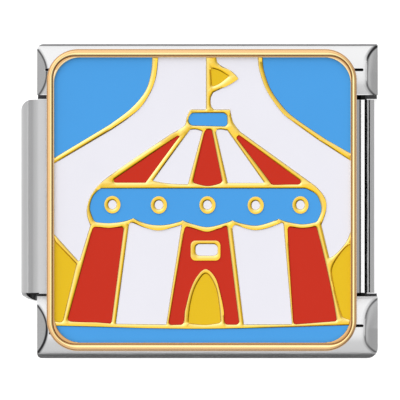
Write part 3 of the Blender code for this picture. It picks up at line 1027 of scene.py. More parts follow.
@dataclass
class SteelShell:
    """One steel sheet folded round: plate, four domed ears with bevelled ends, walls and flanges."""

    ends: tuple[ShellEnd, ShellEnd] = (
        ShellEnd(
            place=-4.65, inward=1, recess=-4.15, corners=(0.18, 0.13), reaches=(0.28, 0.28),
            tilts=(0.0, 0.0), hollow=1.0, shade=0.26,
            painted_shade=((-4.5, 1.6), (-3.75, 1.7), (-3.55, 1.1), (2.9, 0.9), (4.5, 0.95)),
        ),
        ShellEnd(
            place=5.11, inward=-1, recess=4.26, corners=(0.05, 0.30), reaches=(0.34, 0.39),
            tilts=(0.08, 0.16), hollow=0.6, shade=0.04,
            painted_shade=(
                (-4.5, 0.9), (-4.1, 0.75), (-3.7, 0.35), (-3.3, 0.45), (-2.9, 0.9), (2.9, 1.0), (3.3, 0.8),
                (3.5, 0.3), (4.0, 0.35), (4.15, 1.6), (4.5, 2.0),
            ),
        ),
    )
    half_width: float = 4.50
    sheet: float = 0.30
    plate_top: float = 3.05
    crest: float = 3.67
    dome_radius: float = 1.35
    dome_reach: float = 0.77
    fold: float = 0.40
    wall_top: float = 2.755
    flange_top: float = 2.94
    flange_bottom: float = -2.66
    dome_taper: float = 1.05
    dome_share: float = 0.9
    wall_taper: float = 0.7
    facet_drop: float = 0.19
    recess_top: float = 3.04
    recess_bottom: float = -2.73
    blend: float = 0.10
    # Painted shade: rim_shade darkens the outer skin's +Y rim, and the inner skin is darkened so that gaps
    # and slits look dark.
    rim_shade: float = 0.42
    rim_gap: float = 0.002
    shade_line_width: float = 0.034
    line_reach: float = 1.2
    steepest: float = 5.0
    column_room: float = 0.002
    inner_painted_shade: float = 0.95
    slits: tuple[Triple, ...] = (
        (-4.42, -3.95, 3.76), (-4.31, -3.95, -3.78), (4.20, 4.70, 3.76), (4.20, 4.70, -3.57),
    )
    slit_half_width: float = 0.04
    slit_rounding: float = 0.036
    slit_heights: Point = (1.60, 3.60)
    pin_axis: Point = (4.65, 0.52)
    pin_hole: float = 0.20
    pin_way: Point = (-5.0, 5.0)
    sharp_angle: float = 22.0
    edge_width: float = 0.022
    zone_steps: tuple[int, ...] = (5, 12, 10, 8, 34, 26)
    plate_steps: int = 8
    column_steps: tuple[int, ...] = (8, 3, 3, 7, 26, 7, 3, 3, 8)

    def dome(self, offset: np.ndarray, depth: float = 0.0) -> np.ndarray:
        """Height of the domed ear: a circle about a point under the crest, smaller below the skin."""
        return self.plate_top - self.dome_radius + np.sqrt((self.dome_radius - depth) ** 2 - offset**2)

    def half_section(self, depth: float, recess: float, flange: float) -> np.ndarray:
        """Half a section, from the flange's edge up the wall and over the ear to the recess.

        Args:
            depth: 0 for the outer skin and the sheet's thickness for the inner one.
            recess: how far from the middle the recess begins.
            flange: how far from the middle the flange ends.

        Returns:
            Its points across and up.
        """
        wall = self.half_width - depth
        fold_centre = (self.half_width - self.fold, self.fold)
        reach = self.dome_reach - depth * self.dome_taper
        shoulder = float(self.dome(np.array(reach), depth))
        top = self.wall_top - depth * self.wall_taper
        flange_steps, fold_steps, wall_steps, edge_steps, dome_steps, inner_steps = self.zone_steps
        offsets = reach * (1 - np.arange(dome_steps) / dome_steps)
        inner = (self.crest - recess) * np.arange(inner_steps) / inner_steps
        return np.vstack([
            line_points((flange, depth), (fold_centre[0], depth), flange_steps),
            arc_points(fold_centre, self.fold - depth, -90, 0, fold_steps),
            line_points((wall, self.fold), (wall, top), wall_steps),
            line_points((wall, top), (self.crest + reach, shoulder), edge_steps),
            np.stack([self.crest + offsets, self.dome(offsets, depth)], -1),
            np.stack([self.crest - inner, self.dome(inner, depth)], -1),
        ])

    def section(self, depth: float) -> np.ndarray:
        """The whole section, from the flange at +Y over the top to the one at -Y.

        Args:
            depth: as half_section takes it.

        Returns:
            Its points across and up.
        """
        near = self.half_section(depth, self.recess_top, self.flange_top)
        far = self.half_section(depth, -self.recess_bottom, -self.flange_bottom)
        far = np.vstack([far, far[-1] * 2 - far[-2]])[::-1] * np.array([-1.0, 1.0])
        plate = line_points((self.recess_top, near[-1, 1]), tuple(far[0]), self.plate_steps)
        return np.vstack([near, plate, far])

    def end_place(self, across: np.ndarray, end: ShellEnd) -> np.ndarray:
        """Where the plan ends along X: straight, with a quarter circle at each corner.

        Args:
            across: the Y of each point.
            end: the end.

        Returns:
            The X of each point.
        """
        radius = np.where(across > 0, *end.corners)
        past = np.maximum(np.abs(across) - (self.half_width - radius), 0)
        return end.place + end.inward * (radius - np.sqrt(np.maximum(radius**2 - past**2, 0)))

    def facet(self, across: np.ndarray, end: ShellEnd) -> tuple[np.ndarray, np.ndarray]:
        """Measures an end's bevel, which falls further past the crest toward +Y.

        Args:
            across: the Y of each point.
            end: the end.

        Returns:
            How far in it reaches, and how far it falls.
        """
        upper = across > 0
        past = np.clip(across - np.where(upper, self.crest, -self.crest), 0, 1)
        return np.where(upper, *end.reaches), self.facet_drop + past * np.where(upper, *end.tilts)

    def facet_place(self, across: np.ndarray, end: ShellEnd) -> np.ndarray:
        """Where the bevel of an end meets the dome: the bevel's height solved for the dome's.

        Args:
            across: the Y of each point.
            end: the end.

        Returns:
            The X of each point.
        """
        reach, drop = self.facet(across, end)
        offset = np.minimum(np.abs(np.abs(across) - self.crest), self.dome_radius * self.dome_share)
        fall = (self.plate_top - self.dome(offset)) / drop
        return end.place + end.inward * reach * (1 - fall ** (1 / end.hollow))

    def bevel(self, along: np.ndarray, across: np.ndarray, end: ShellEnd) -> np.ndarray:
        """Height of a bevel: it falls by a power of the share left to the end, hollow under 1."""
        reach, drop = self.facet(across, end)
        return self.plate_top - drop * np.clip(1 - np.abs(end.place - along) / reach, 0, 1) ** end.hollow

    def columns(self, across: np.ndarray, outer: np.ndarray) -> tuple[np.ndarray, np.ndarray]:
        """Places along X of the grid's columns, which close in on the edges of the bevels.

        Args:
            across: the Y of each point of a layer.
            outer: the Y of the point above it on the outer skin.

        Returns:
            X for each column and point, and its painted shade from 0 to 1: a dark line along each bevel's
            edge and an even shade over the bevel.
        """
        keys: list[np.ndarray] = []
        facets = []
        for end in self.ends:
            first = self.end_place(across, end)
            facet = self.facet_place(outer, end)
            beside = [
                end.inward * np.maximum(
                    end.inward * facet + (number - 2) * self.shade_line_width * self.line_reach,
                    end.inward * first + number * self.column_room,
                )
                for number in (1, 2, 3)
            ]
            keys += [first, *beside, np.full_like(first, end.recess)][:: end.inward]
            facets.append((end, facet, end.inward * (facet - first) > 0))
        fixed = np.stack(keys)
        stops = np.concatenate([index + np.arange(n) / n for index, n in enumerate(self.column_steps)])
        stops = np.append(stops, len(fixed) - 1)
        low = np.minimum(stops.astype(int), len(fixed) - 2)
        share = (stops - low)[:, None]
        along = fixed[low] * (1 - share) + fixed[low + 1] * share
        painted_shade = np.zeros_like(along)
        step = np.gradient(outer)
        # Painted shade: a dark line where each bevel meets the dome, and an even painted shade over the
        # bevel itself.
        for end, facet, there in facets:
            strength = np.interp(across, *np.array(end.painted_shade).T)
            slope = np.gradient(facet) / np.where(np.abs(step) > TINY, step, 1.0)
            width = self.shade_line_width * np.sqrt(1 + np.minimum(slope**2, self.steepest**2))
            line = np.minimum(strength * np.exp(-(((along - facet) / width) ** 2)), 1)
            beyond = end.shade * (end.inward * (facet - along) > 0)
            painted_shade = np.maximum(painted_shade, np.where(there, np.maximum(line, beyond), 0))
        return along, painted_shade

    def grid(self) -> tuple[np.ndarray, np.ndarray]:
        """The sheet's points by layer, column and place on the section, and their creases.

        A layer lies a share of the way from the outer section to the inner one. Between the ends
        the ears' inner halves are level with the plate, and at the ends they fall as the dome does.
        Every layer is cut down to each end's bevel, less the layer's depth.

        Returns:
            The points, and the painted shade of each.
        """
        outer = self.section(0.0)
        inner = self.section(self.sheet)
        layers = []
        painted_shades = []
        for share in (0.0, 0.5, 1.0):
            across = outer[:, 0] * (1 - share) + inner[:, 0] * share
            along, painted_shade = self.columns(across, outer[:, 0])
            up = np.broadcast_to(outer[:, 1] * (1 - share) + inner[:, 1] * share, along.shape)
            level = self.plate_top - self.sheet * share
            fall = math.prod(
                np.clip(end.inward * (along - end.recess) / self.blend + 1, 0, 1) for end in self.ends
            )
            inside = np.abs(across)[None, :] < self.crest
            top = up > self.plate_top / 2
            up = np.where(inside & top, up + (level - up) * fall, up)
            bevel = np.minimum(*(self.bevel(along, outer[:, 0], end) for end in self.ends))
            up = np.where(top, np.minimum(up, bevel - self.sheet * share), up)
            # Painted shade: a dark band on the outer skin's +Y rim, and inner layers darker the deeper they
            # lie.
            if share == 0.0:
                rim = self.rim_shade * (across > self.crest + self.dome_reach + self.rim_gap)
                painted_shade = np.maximum(painted_shade, rim) * top
            else:
                painted_shade = np.full_like(painted_shade, self.inner_painted_shade * share)
                painted_shade[[0, -1]] = 0.0
            layers.append(np.stack([along, np.broadcast_to(across, along.shape), up], -1))
            painted_shades.append(painted_shade)
        return np.stack(layers), np.stack(painted_shades)

    def build(self) -> None:
        """Makes the shell, cuts its recesses, slits and pin hole, and dresses it."""
        points, painted_shades = self.grid()
        half = sum(self.zone_steps)
        kept = np.ones((points.shape[1] - 1, points.shape[2] - 1), bool)
        outer_columns = sum(self.column_steps[:4])
        plate = slice(half, half + self.plate_steps)
        kept[:outer_columns, plate] = False
        kept[-outer_columns:, plate] = False
        skin, used = sheet_skin(points, kept)
        shell = make_piece(
            "steel_link_shell", skin, BRIGHT_STEEL.build(), Body.LINK, ["steel_shell"],
            {"painted_shade": painted_shades.ravel()[used]}, self.sharp_angle,
        )
        reach = self.slit_half_width
        tools = []
        for index, (start, end, y) in enumerate(self.slits):
            loop = rounded_rectangle(start, end, y - reach, y + reach, self.slit_rounding, 4)
            tools.append(cutter(f"slit_{index}", loop, *self.slit_heights))
        hole = oval(self.pin_axis, (self.pin_hole, self.pin_hole), 48)
        tools.append(cutter("pin_way", hole, *self.pin_way, along="Y"))
        cut_away(shell, tools)
        round_edges(shell, self.edge_width)


# Connector


@dataclass
class Connector:
    """The flat sleeve of thin sheet between the ears, with its roll, its lip, and the hinge pin.

    A pair that the route reads holds the outer skin's value, then the inner skin's.
    """

    roll_centre: Point = (-4.43, 0.74)
    roll_radii: Point = (0.70, 0.56)
    floors: Point = (0.04, 0.18)
    lips: Point = (5.025, 4.90)
    lip_turns: Point = (0.12, 0.03)
    lip_tops: Point = (1.18, 1.21)
    curls: tuple[Outline, Outline] = (
        (
            (475.7, 78, 0), (475.7, 125, 0), (474.5, 127, 0), (464.5, 127, 0), (462.2, 129.2),
            (460, 131.2, 0), (455.5, 133.8), (451, 136.4, 0), (443, 140, 0),
        ),
        (
            (461.7, 78, 0), (461.7, 108, 0), (461, 110, 0), (456, 111, 0), (454.5, 112), (453.5, 117),
            (450, 122.5), (445, 125.5), (440, 126, 0),
        ),
    )
    curl_steps: int = 5
    top_edge: float = 2.915
    bottom_edge: float = -2.635
    corner: float = 0.32
    scoop: tuple[Point, ...] = (
        (-5.13, -2.62), (-5.09, -2.72), (-4.94, -2.81), (-4.78, -2.865), (-4.70, -2.865), (-4.69, -2.635),
    )
    scoop_blend: float = 0.12
    across_steps: int = 20
    sharp_angle: float = 40.0
    edge_width: float = 0.018
    # Painted shade of the sleeve: 0 leaves its bright steel as it is, 1 makes it near black.
    sleeve_painted_shade: float = 0.44
    roll_painted_shade: float = 0.56
    roll_shade_to: float = -4.93
    inside_painted_shade: float = 0.8
    inside_shade_to: float = -4.03
    sleeve_lip_painted_shade: float = 0.26
    bend_painted_shade: float = 0.85
    bend_from: float = 4.598
    bright_from: float = 4.64
    bright_above: float = 1.14

    def route(self, side: int) -> np.ndarray:
        """One skin of the sheet, from its curl over the top and round the roll to the lip's top.

        Args:
            side: 0 for the outer skin, 1 for the inner one.

        Returns:
            Its points along X and Z.
        """
        curl = smooth_path(self.curls[side], self.curl_steps, closed=False)[:-1]
        centre_x, centre_z = self.roll_centre
        pairs = (self.roll_radii, self.floors, self.lips, self.lip_turns, self.lip_tops)
        radius, floor, wall, turn, rim = (pair[side] for pair in pairs)
        return np.vstack([
            curl,
            line_points(tuple(curl[-1] * 2 - curl[-2]), (centre_x, centre_z + radius), 14),
            arc_points(self.roll_centre, radius, 90, 270, 48),
            line_points((centre_x, floor), (wall - turn, floor), 14),
            bend_points((wall - turn, floor), (wall, floor), (wall, floor + turn), 8),
            line_points((wall, floor + turn), (wall, rim), 6),
            np.array([[wall, rim]]),
        ])

    def edges(self, skin: np.ndarray) -> tuple[np.ndarray, np.ndarray]:
        """Where the sheet ends across, at each place along its route.

        The end at +Y is straight with a quarter circle at the roll. The other is straight too, and
        the roll's lower half runs on past it like a scoop.

        Args:
            skin: the route's places along X and Z.

        Returns:
            The Y of the two edges.
        """
        roll_left = self.roll_centre[0] - self.roll_radii[0]
        past = np.maximum(roll_left + self.corner - skin[:, 0], 0)
        top = self.top_edge - self.corner + np.sqrt(np.maximum(self.corner**2 - past**2, 0))
        places, reaches = np.array(self.scoop).T
        scooped = np.interp(skin[:, 0], places, reaches)
        blend = (roll_left, roll_left + self.scoop_blend)
        straight = np.interp(skin[:, 0], blend, (reaches[0], self.bottom_edge))
        return top, np.where(skin[:, 1] < self.roll_centre[1], scooped, straight)

    def painted_shading(self, skin: np.ndarray) -> np.ndarray:
        """How much painted shade each place along the route gets.

        Args:
            skin: the outer skin's places along X and Z.

        Returns:
            The painted shade by layer and place.
        """
        along, up = skin.T
        sleeve_shade = np.full((2, len(skin)), self.sleeve_painted_shade)
        outside, inside = sleeve_shade
        # Painted highlight with no shade on the top of the curl's bend, a dark painted line on its steep
        # side, and painted shade on the roll's far side, the lip's top and the roll's inside.
        outside[(along > self.bright_from) & (along < self.lips[1]) & (up > self.bright_above)] = 0.0
        outside[(along > self.bend_from) & (along < self.bright_from)] = self.bend_painted_shade
        outside[along < self.roll_shade_to] = self.roll_painted_shade
        sleeve_shade[:, -2:] = self.sleeve_lip_painted_shade
        inside[along < self.inside_shade_to] = self.inside_painted_shade
        return sleeve_shade

    def build_sleeve(self) -> None:
        """Makes and dresses the sleeve: each place of its route is drawn out across in a straight line."""
        skins = [self.route(side) for side in (0, 1)]
        share = np.linspace(0, 1, self.across_steps + 1)[None, :]
        top, bottom = self.edges(skins[0])
        across = bottom[:, None] * (1 - share) + top[:, None] * share
        points = np.stack([
            np.stack(np.broadcast_arrays(skin[:, :1], across, skin[:, 1:]), -1) for skin in skins
        ])
        kept = np.ones((points.shape[1] - 1, points.shape[2] - 1), bool)
        skin, used = sheet_skin(points, kept)
        sleeve_shade = np.repeat(self.painted_shading(skins[0]).ravel(), points.shape[2])
        sleeve = make_piece(
            "sleeve", skin, SLEEVE_STEEL.build(), Body.CONNECTOR, ["connector_sleeve"],
            {"painted_shade": sleeve_shade[used]}, self.sharp_angle,
        )
        round_edges(sleeve, self.edge_width)

    def build(self) -> None:
        """Makes the sleeve and dresses the pin."""
        self.build_sleeve()
        dress_node("hinge_pin", SHADED_PIN_STEEL.build())


@dataclass
class LeafSprings:
    """The two springs under the plate, which keep their CAD shape."""

    nodes: tuple[str, ...] = ("leaf_spring_top", "leaf_spring_bottom")

    def build(self) -> None:
        """Dresses the springs."""
        material = SHADED_SPRING_STEEL.build()
        for node in self.nodes:
            dress_node(node, material)


def dress_node(node: str, material: bpy.types.Material) -> None:
    """Gives a CAD node that keeps its shape its finish.

    Args:
        node: the node's name.
        material: its finish.
    """
    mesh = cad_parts[node].data
    mesh.materials.clear()
    mesh.materials.append(material)
    log.info("%s: CAD node, dressed in %s", node, material.name)


# Frame round the picture


@dataclass
class Bezel:
    """The raised rose gold frame, and the thin lip inside it that the enamel ends at.

    Both are a section carried round the picture. Each station of the section is a rounded
    rectangle of its own: how far it lies inside the frame's outline, its corner radius, its height.
    """

    left: float = -4.37
    right: float = 4.50
    bottom: float = -4.29
    top: float = 4.35
    seat: float = 3.07
    section: tuple[tuple[float, float, float], ...] = (
        (0.000, 0.900, 3.07),
        (0.000, 0.900, 3.60),
        (0.006, 0.895, 3.635),
        (0.020, 0.882, 3.665),
        (0.045, 0.860, 3.682),
        (0.080, 0.825, 3.692),
        (0.115, 0.785, 3.694),
        (0.145, 0.725, 3.691),
        (0.167, 0.665, 3.684),
        (0.178, 0.645, 3.672),
        (0.181, 0.640, 3.658),
        (0.196, 0.622, 3.655),
        (0.198, 0.620, 3.63),
        (0.198, 0.620, 3.07),
    )
    lip_section: tuple[tuple[float, float, float], ...] = (
        (0.201, 0.617, 3.30),
        (0.201, 0.617, 3.62),
        (0.204, 0.624, 3.64),
        (0.212, 0.650, 3.648),
        (0.228, 0.705, 3.648),
        (0.239, 0.750, 3.643),
        (0.242, 0.760, 3.625),
        (0.242, 0.760, 3.30),
    )
    left_share: float = 0.9
    right_share: float = 0.72
    dense_steps: int = 3
    lip_lit_left_of: float = -4.08
    lip_shaded_below: float = -3.0
    lip_blends: Point = (0.05, 0.4)
    lip_painted_light: float = 0.35
    lip_painted_shade: float = 0.43

    def ring(self, inset: float, radius: float) -> np.ndarray:
        """The frame's outline moved in, less so at its sides, with a corner radius of its own."""
        left, right = self.left + inset * self.left_share, self.right - inset * self.right_share
        return rounded_rectangle(left, right, self.bottom + inset, self.top - inset, radius)

    def carried(self, section: tuple[Triple, ...]) -> tuple[Skin, np.ndarray]:
        """Carries a section round: point (s, t) lies at t along the rounded rectangle of station s.

        Args:
            section: the section's stations, from the outer foot over the top to the inner foot.

        Returns:
            The skin, and how far across the section each point lies, from 0 to 1.
        """
        skin = Skin()
        numbers = np.arange(len(section))
        wanted = np.linspace(0, numbers[-1], numbers[-1] * self.dense_steps + 1)
        dense = np.stack([np.interp(wanted, numbers, values) for values in np.array(section).T], -1)
        dense[2:-2] = (dense[1:-3] + 2 * dense[2:-2] + dense[3:-1]) / 4
        rows = [skin.add(to_space(self.ring(inset, radius), height)) for inset, radius, height in dense]
        skin.bands(rows + rows[:1])
        insets = dense[:, 0]
        across = (insets - insets[0]) / (insets[-1] - insets[0])
        return skin, np.repeat(across, len(rows[0]))

    def build(self) -> None:
        """Makes and dresses the frame and its lip, which gets painted light at the left and painted shade
        below.
        """
        skin, across = self.carried(self.section)
        make_piece(
            "bezel_frame", skin, BEZEL_GOLD.build(), Body.LINK, ["bezel"], {"across": across}
        )
        skin, across = self.carried(self.lip_section)
        # Painted light on the lip's left side and painted shade on its lower side, as a shift along its
        # bands.
        past = (self.lip_lit_left_of, self.lip_shaded_below) - np.vstack(skin.points)[:, :2]
        leftward, lower = np.clip(past / self.lip_blends, 0, 1).T
        across = (across + self.lip_painted_light * leftward) * (1 - self.lip_painted_shade * lower)
        make_piece(
            "bezel_lip", skin, LIP_GOLD.build(), Body.LINK, attributes={"across": across}
        )


# The enamel picture


@dataclass(frozen=True)
class Cell:
    """One enamel cell: its name, colour, outer loop and the loops of the wires that stand in it."""

    name: str
    slot: Slot
    outer: np.ndarray
    holes: tuple[np.ndarray, ...] = ()

    def sides(self) -> list[tuple[np.ndarray, int]]:
        """Each loop, with 1 where the wire lies outside it and -1 where it lies inside."""
        return [(self.outer, 1)] + [(hole, -1) for hole in self.holes]


@dataclass
class Picture:
    """The gold plate with its raised wires, and the enamel that fills its pockets.

    A wire's top is rounded: from the pocket's wall a curve rises to the flat along the middle of the
    wire. The enamel climbs a little where it touches a wire.
    """

    window: tuple[float, float, float, float] = (-4.16, 4.33, -4.05, 4.11)
    window_corner: float = 0.76
    rim: float = 0.04
    seat: float = 3.07
    pocket_floor: float = 3.32
    enamel_top: float = 3.55
    wire_top: float = 3.58
    wire_round: float = 0.056
    wire_arch: float = 0.55
    wire_share: float = 0.38
    wire_probe: float = 0.02
    round_steps: int = 6
    # Painted light on the wires: the way that gets a painted highlight, how it fades towards the flat, and
    # how much stronger the painted shade is on the other side.
    painted_light_way: Point = (0.6, -1.1)
    painted_light_fade: float = 0.4
    painted_shade_gain: float = 1.6
    climb: float = 0.006
    # Each climb step: how far in from the wall, share of the climb, and share of the painted shade at the
    # enamel's edge.
    climb_steps: tuple[Triple, ...] = (
        (0.0, 1.0, 1.0), (0.008, 0.45, 0.7), (0.018, 0.12, 0.3), (0.03, 0.0, 0.0), (0.036, 0.0, 0.0),
    )
    rim_held: float = 0.8
    rim_drop: float = 0.046
    rim_slope: float = 0.012
    clearance: float = 0.0015
    ring_centres: tuple[Point, ...] = ((-249, -10), (-116, -11), (23, -11), (161, -12), (289, -11))
    ring_outer: Point = (23, 25)
    ring_inner: Point = (12, 13)
    light_outer: tuple[float, ...] = (-0.25, 0.60, -1.70, -1.13, 0.14)
    light_inner: tuple[float, ...] = (-0.11, 0.52, -1.56, -1.23, 0.12)
    light_steps: int = 10

    sky_left: Outline = (
        (-416, 411, 76), (-135, 411, 2), (-138, 370), (-150, 324), (-172, 290), (-206, 256),
        (-256, 219, 150), (-416, 123, 1),
    )
    sky_right: Outline = (
        (433, 411, 76), (433, 136, 1), (365, 175, 200), (285, 229), (244, 264), (205, 318), (185, 373),
        (181, 411, 2),
    )
    field_left: Outline = (
        (-118, 411, 1), (19, 411, 1), (19, 262, 3), (-26, 262, 9), (-36, 240), (-41, 219), (-56, 206),
        (-84, 190), (-141, 152), (-199, 113), (-256, 73), (-285, 49), (-302, 29), (-316, 3), (-322, -23),
        (-320, -46), (-312, -69, 2), (-344, -174, 3), (-416, -94, 0), (-416, 107, 0), (-250, 205, 60),
        (-205, 236), (-167, 270), (-139, 313), (-123, 361),
    )
    field_right: Outline = (
        (48, 411, 1), (51, 398), (62, 387), (88, 374), (103, 361), (112, 350, 3), (88, 334), (59, 320),
        (40, 311, 8), (33, 297), (32, 283), (34, 271), (42, 262, 2), (87, 262, 3), (90, 250), (93, 236),
        (99, 221), (116, 199, 12), (317, 54, 20), (335, 40), (351, 22), (361, 3), (363, -17), (360, -37),
        (349, -68, 2), (372, -164, 3), (388, -153), (406, -135), (421, -115), (433, -86, 0),
        (433, 115, 0), (340, 175, 200), (261, 232), (230, 261), (192, 317), (172, 373), (167, 411, 1),
    )
    flag: Outline = ((32, 381, 4), (58, 373), (84, 357, 2), (59, 337), (36, 327, 4))
    cap: Outline = ((-31, 252, 15), (79, 252, 13), (80, 214, 9), (-31, 217, 15))
    roof_red_left: Outline = ((-52, 193, 2), (-154, 53, 3), (-258, 53, 6))
    roof_white_left: Outline = (
        (-27, 204, 3), (-10, 205), (8, 200, 2), (-33, 48, 1), (-85, 50), (-133, 58, 1),
    )
    roof_red_middle: Outline = ((17, 205, 7), (35, 205, 7), (66, 53, 8), (24, 44), (-19, 53, 7))
    roof_white_right: Outline = ((46, 204, 6), (62, 205), (80, 202, 3), (186, 52, 2), (81, 52, 2))
    roof_red_right: Outline = ((87, 207, 5), (208, 48, 5), (304, 48, 7))
    valance: Outline = (
        (-284, 36, 8), (304, 36, 25), (333, 20), (346, -5), (348, -30), (336, -60, 12), (297, -66),
        (260, -61), (226, -51, 4), (198, -62), (163, -70), (126, -65), (94, -55, 4), (62, -66), (23, -74),
        (-14, -67), (-48, -55, 4), (-80, -65), (-116, -69), (-153, -64), (-189, -49, 4), (-222, -59),
        (-260, -63), (-300, -60, 14), (-313, -22), (-305, 12),
    )
    wall_red_left: Outline = ((-304, -74, 7), (-258, -77), (-216, -74, 6), (-252, -349, 5), (-378, -343, 7))
    wall_white_left: Outline = (
        (-201, -62, 7), (-189, -63), (-156, -76), (-117, -84), (-78, -76), (-51, -68, 1), (-95, -353, 1),
        (-239, -351, 4),
    )
    wall_red_middle: Outline = (
        (-41, -72, 6), (-10, -81), (24, -88), (54, -80), (79, -71, 5), (114, -353, 8), (73, -353, 9),
        (69, -311), (60, -262), (44, -217), (18, -195), (-8, -217), (-28, -262), (-41, -311),
        (-46, -353, 8), (-88, -354, 8),
    )
    wall_white_right: Outline = (
        (93, -67, 9), (109, -70), (136, -79), (163, -83), (196, -77), (240, -60, 5), (265, -352, 2),
        (127, -353, 3),
    )
    wall_red_right: Outline = (
        (252, -73, 6), (294, -78), (335, -73, 7), (359, -169), (383, -283), (393, -343, 5), (270, -352, 8),
    )
    door: Outline = (
        (-32, -349, 4), (15, -354), (61, -348, 6), (57, -300), (46, -245), (19, -207), (-9, -240),
        (-25, -290),
    )
    hill_left: Outline = ((-416, -112, 0), (-352, -180, 6), (-392, -347, 9), (-416, -344, 0))
    hill_right: Outline = (
        (433, -121, 0), (417, -134), (397, -159), (381, -188), (380, -215), (391, -269), (406, -322),
        (414, -334), (433, -340, 0),
    )
    ground: Outline = (
        (-410, -357, 1), (16, -366), (428, -355, 1), (411, -383), (387, -399), (357, -405, 0),
        (-340, -405, 0), (-370, -399), (-394, -383),
    )

    def cells(self) -> list[Cell]:
        """Lists the picture's cells: those of one outline, then those with rings and the light.

        Returns:
            Every enamel cell.
        """
        coloured = {
            Slot.BLUE: ("sky_left", "sky_right", "cap", "ground"),
            Slot.RED: (
                "roof_red_left", "roof_red_middle", "roof_red_right", "wall_red_left", "wall_red_right",
            ),
            Slot.WHITE: (
                "field_left", "field_right", "roof_white_left", "roof_white_right", "wall_white_left",
                "wall_white_right",
            ),
            Slot.YELLOW: ("flag", "door", "hill_left", "hill_right"),
        }
        made = [
            Cell(name, slot, cell_loop(getattr(self, name)))
            for slot, names in coloured.items()
            for name in names
        ]
        outer, inner = (
            tuple(oval(centre, half_size) * HUNDREDTH for centre in self.ring_centres)
            for half_size in (self.ring_outer, self.ring_inner)
        )
        light_wire = rounded_rectangle(*self.light_outer, self.light_steps)
        light = rounded_rectangle(*self.light_inner, self.light_steps)
        made.append(Cell("valance", Slot.BLUE, cell_loop(self.valance), outer))
        made.append(Cell("wall_red_middle", Slot.RED, cell_loop(self.wall_red_middle), (light_wire,)))
        made.append(Cell("window", Slot.WHITE, light))
        made += [Cell(f"ring_{number}", Slot.WHITE, loop) for number, loop in enumerate(inner, start=1)]
        return made

    def outside(self, loop: np.ndarray) -> tuple[np.ndarray, np.ndarray]:
        """How far each point lies outside the window, and the way out.

        The distance is that to a rounded rectangle: the length of the part of the place, folded
        into one quarter, that passes the corner's centre, less the corner's radius.

        Args:
            loop: the points.

        Returns:
            Each point's distance, negative inside, and the way out.
        """
        left, right, bottom, top = self.window
        place = loop - np.array([(left + right) / 2, (bottom + top) / 2])
        reach = np.array([(right - left) / 2, (top - bottom) / 2]) - self.window_corner
        past = np.maximum(np.abs(place) - reach, 0) * np.sign(place)
        return np.linalg.norm(past, axis=1) - self.window_corner, unit(past)

    def rim_height(self, loop: np.ndarray, height: float) -> np.ndarray:
        """Lowers what lies outside the window, so that it goes in under the lip."""
        return height - self.rim_drop * np.clip(self.outside(loop)[0] / self.rim_slope, 0, 1)

    def held_in(self, loop: np.ndarray) -> np.ndarray:
        """Pulls back the points that would come near the plate's rim."""
        distance, way = self.outside(loop)
        return loop - way * np.maximum(distance - self.rim * self.rim_held, 0)[:, None]

    def wire_space(self, loops: list[np.ndarray]) -> list[np.ndarray]:
        """The room for a wire's rounding, a share of the distance to the nearest other loop.

        Args:
            loops: every pocket's edges.

        Returns:
            The room at each point of each loop.
        """
        strings = [spread(loop, self.wire_probe) for loop in loops]
        rooms = []
        for index, loop in enumerate(loops):
            others = np.vstack(strings[:index] + strings[index + 1 :])
            apart = loop[:, None, :] - others[None, :, :]
            rooms.append(np.sqrt(np.min(np.sum(apart * apart, axis=2), axis=1)) * self.wire_share)
        return rooms

    def shore(
        self, skin: Skin, loop: np.ndarray, side: int, space: np.ndarray
    ) -> tuple[np.ndarray, np.ndarray]:
        """Raises the wire beside a loop: pocket wall, then a curve up to the wire's flat.

        At a share t of the rounding the height is t (1 + a (1 - t)) of the rise, a its arch.

        Args:
            skin: the plate so far.
            loop: the pocket's edge, counter-clockwise.
            side: 1 where the wire lies outside the loop, -1 where it lies inside.
            space: the room at each point.

        Returns:
            The loop where the flat begins, and its points' numbers.
        """
        rise = self.wire_top - self.enamel_top
        rows = [skin.add(to_space(loop, self.pocket_floor))]
        edge = loop
        for share in np.linspace(0, 1, self.round_steps + 1).tolist():
            moved = shifted(loop, side * max(self.wire_round * share, TINY), space * max(share, TINY))
            edge = self.held_in(moved)
            height = self.enamel_top + rise * share * (1 + self.wire_arch * (1 - share))
            rows.append(skin.add(to_space(edge, self.rim_height(edge, height))))
        skin.bands(rows, flipped=side > 0)
        return edge, rows[-1]

    def painted_light(self, loop: np.ndarray, side: int) -> np.ndarray:
        """How much painted light a shore's points get: 1, a painted highlight, at the foot that faces up and
        left, -1, painted shade, opposite.

        Args:
            loop: the pocket's edge, counter-clockwise.
            side: as shore takes it.

        Returns:
            The painted light of each of the shore's points, which fades towards the wire's flat.
        """
        facing = unit(outward(loop)) @ np.array(self.painted_light_way) * side
        facing = np.clip(np.where(facing < 0, self.painted_shade_gain, 1.0) * facing, -1, 1)
        shares = 1 - self.painted_light_fade * np.linspace(0, 1, self.round_steps + 1) ** 2
        return (np.append(1.0, shares)[:, None] * facing[None, :]).ravel()

    def build_plate(self, cells: list[Cell]) -> None:
        """Makes the plate: its wires, its pockets' floors, its side and its underside.

        Args:
            cells: every enamel cell.
        """
        skin = Skin()
        left, right, bottom, top = self.window
        rim = self.rim
        outline = rounded_rectangle(
            left - rim, right + rim, bottom - rim, top + rim, self.window_corner + rim
        )
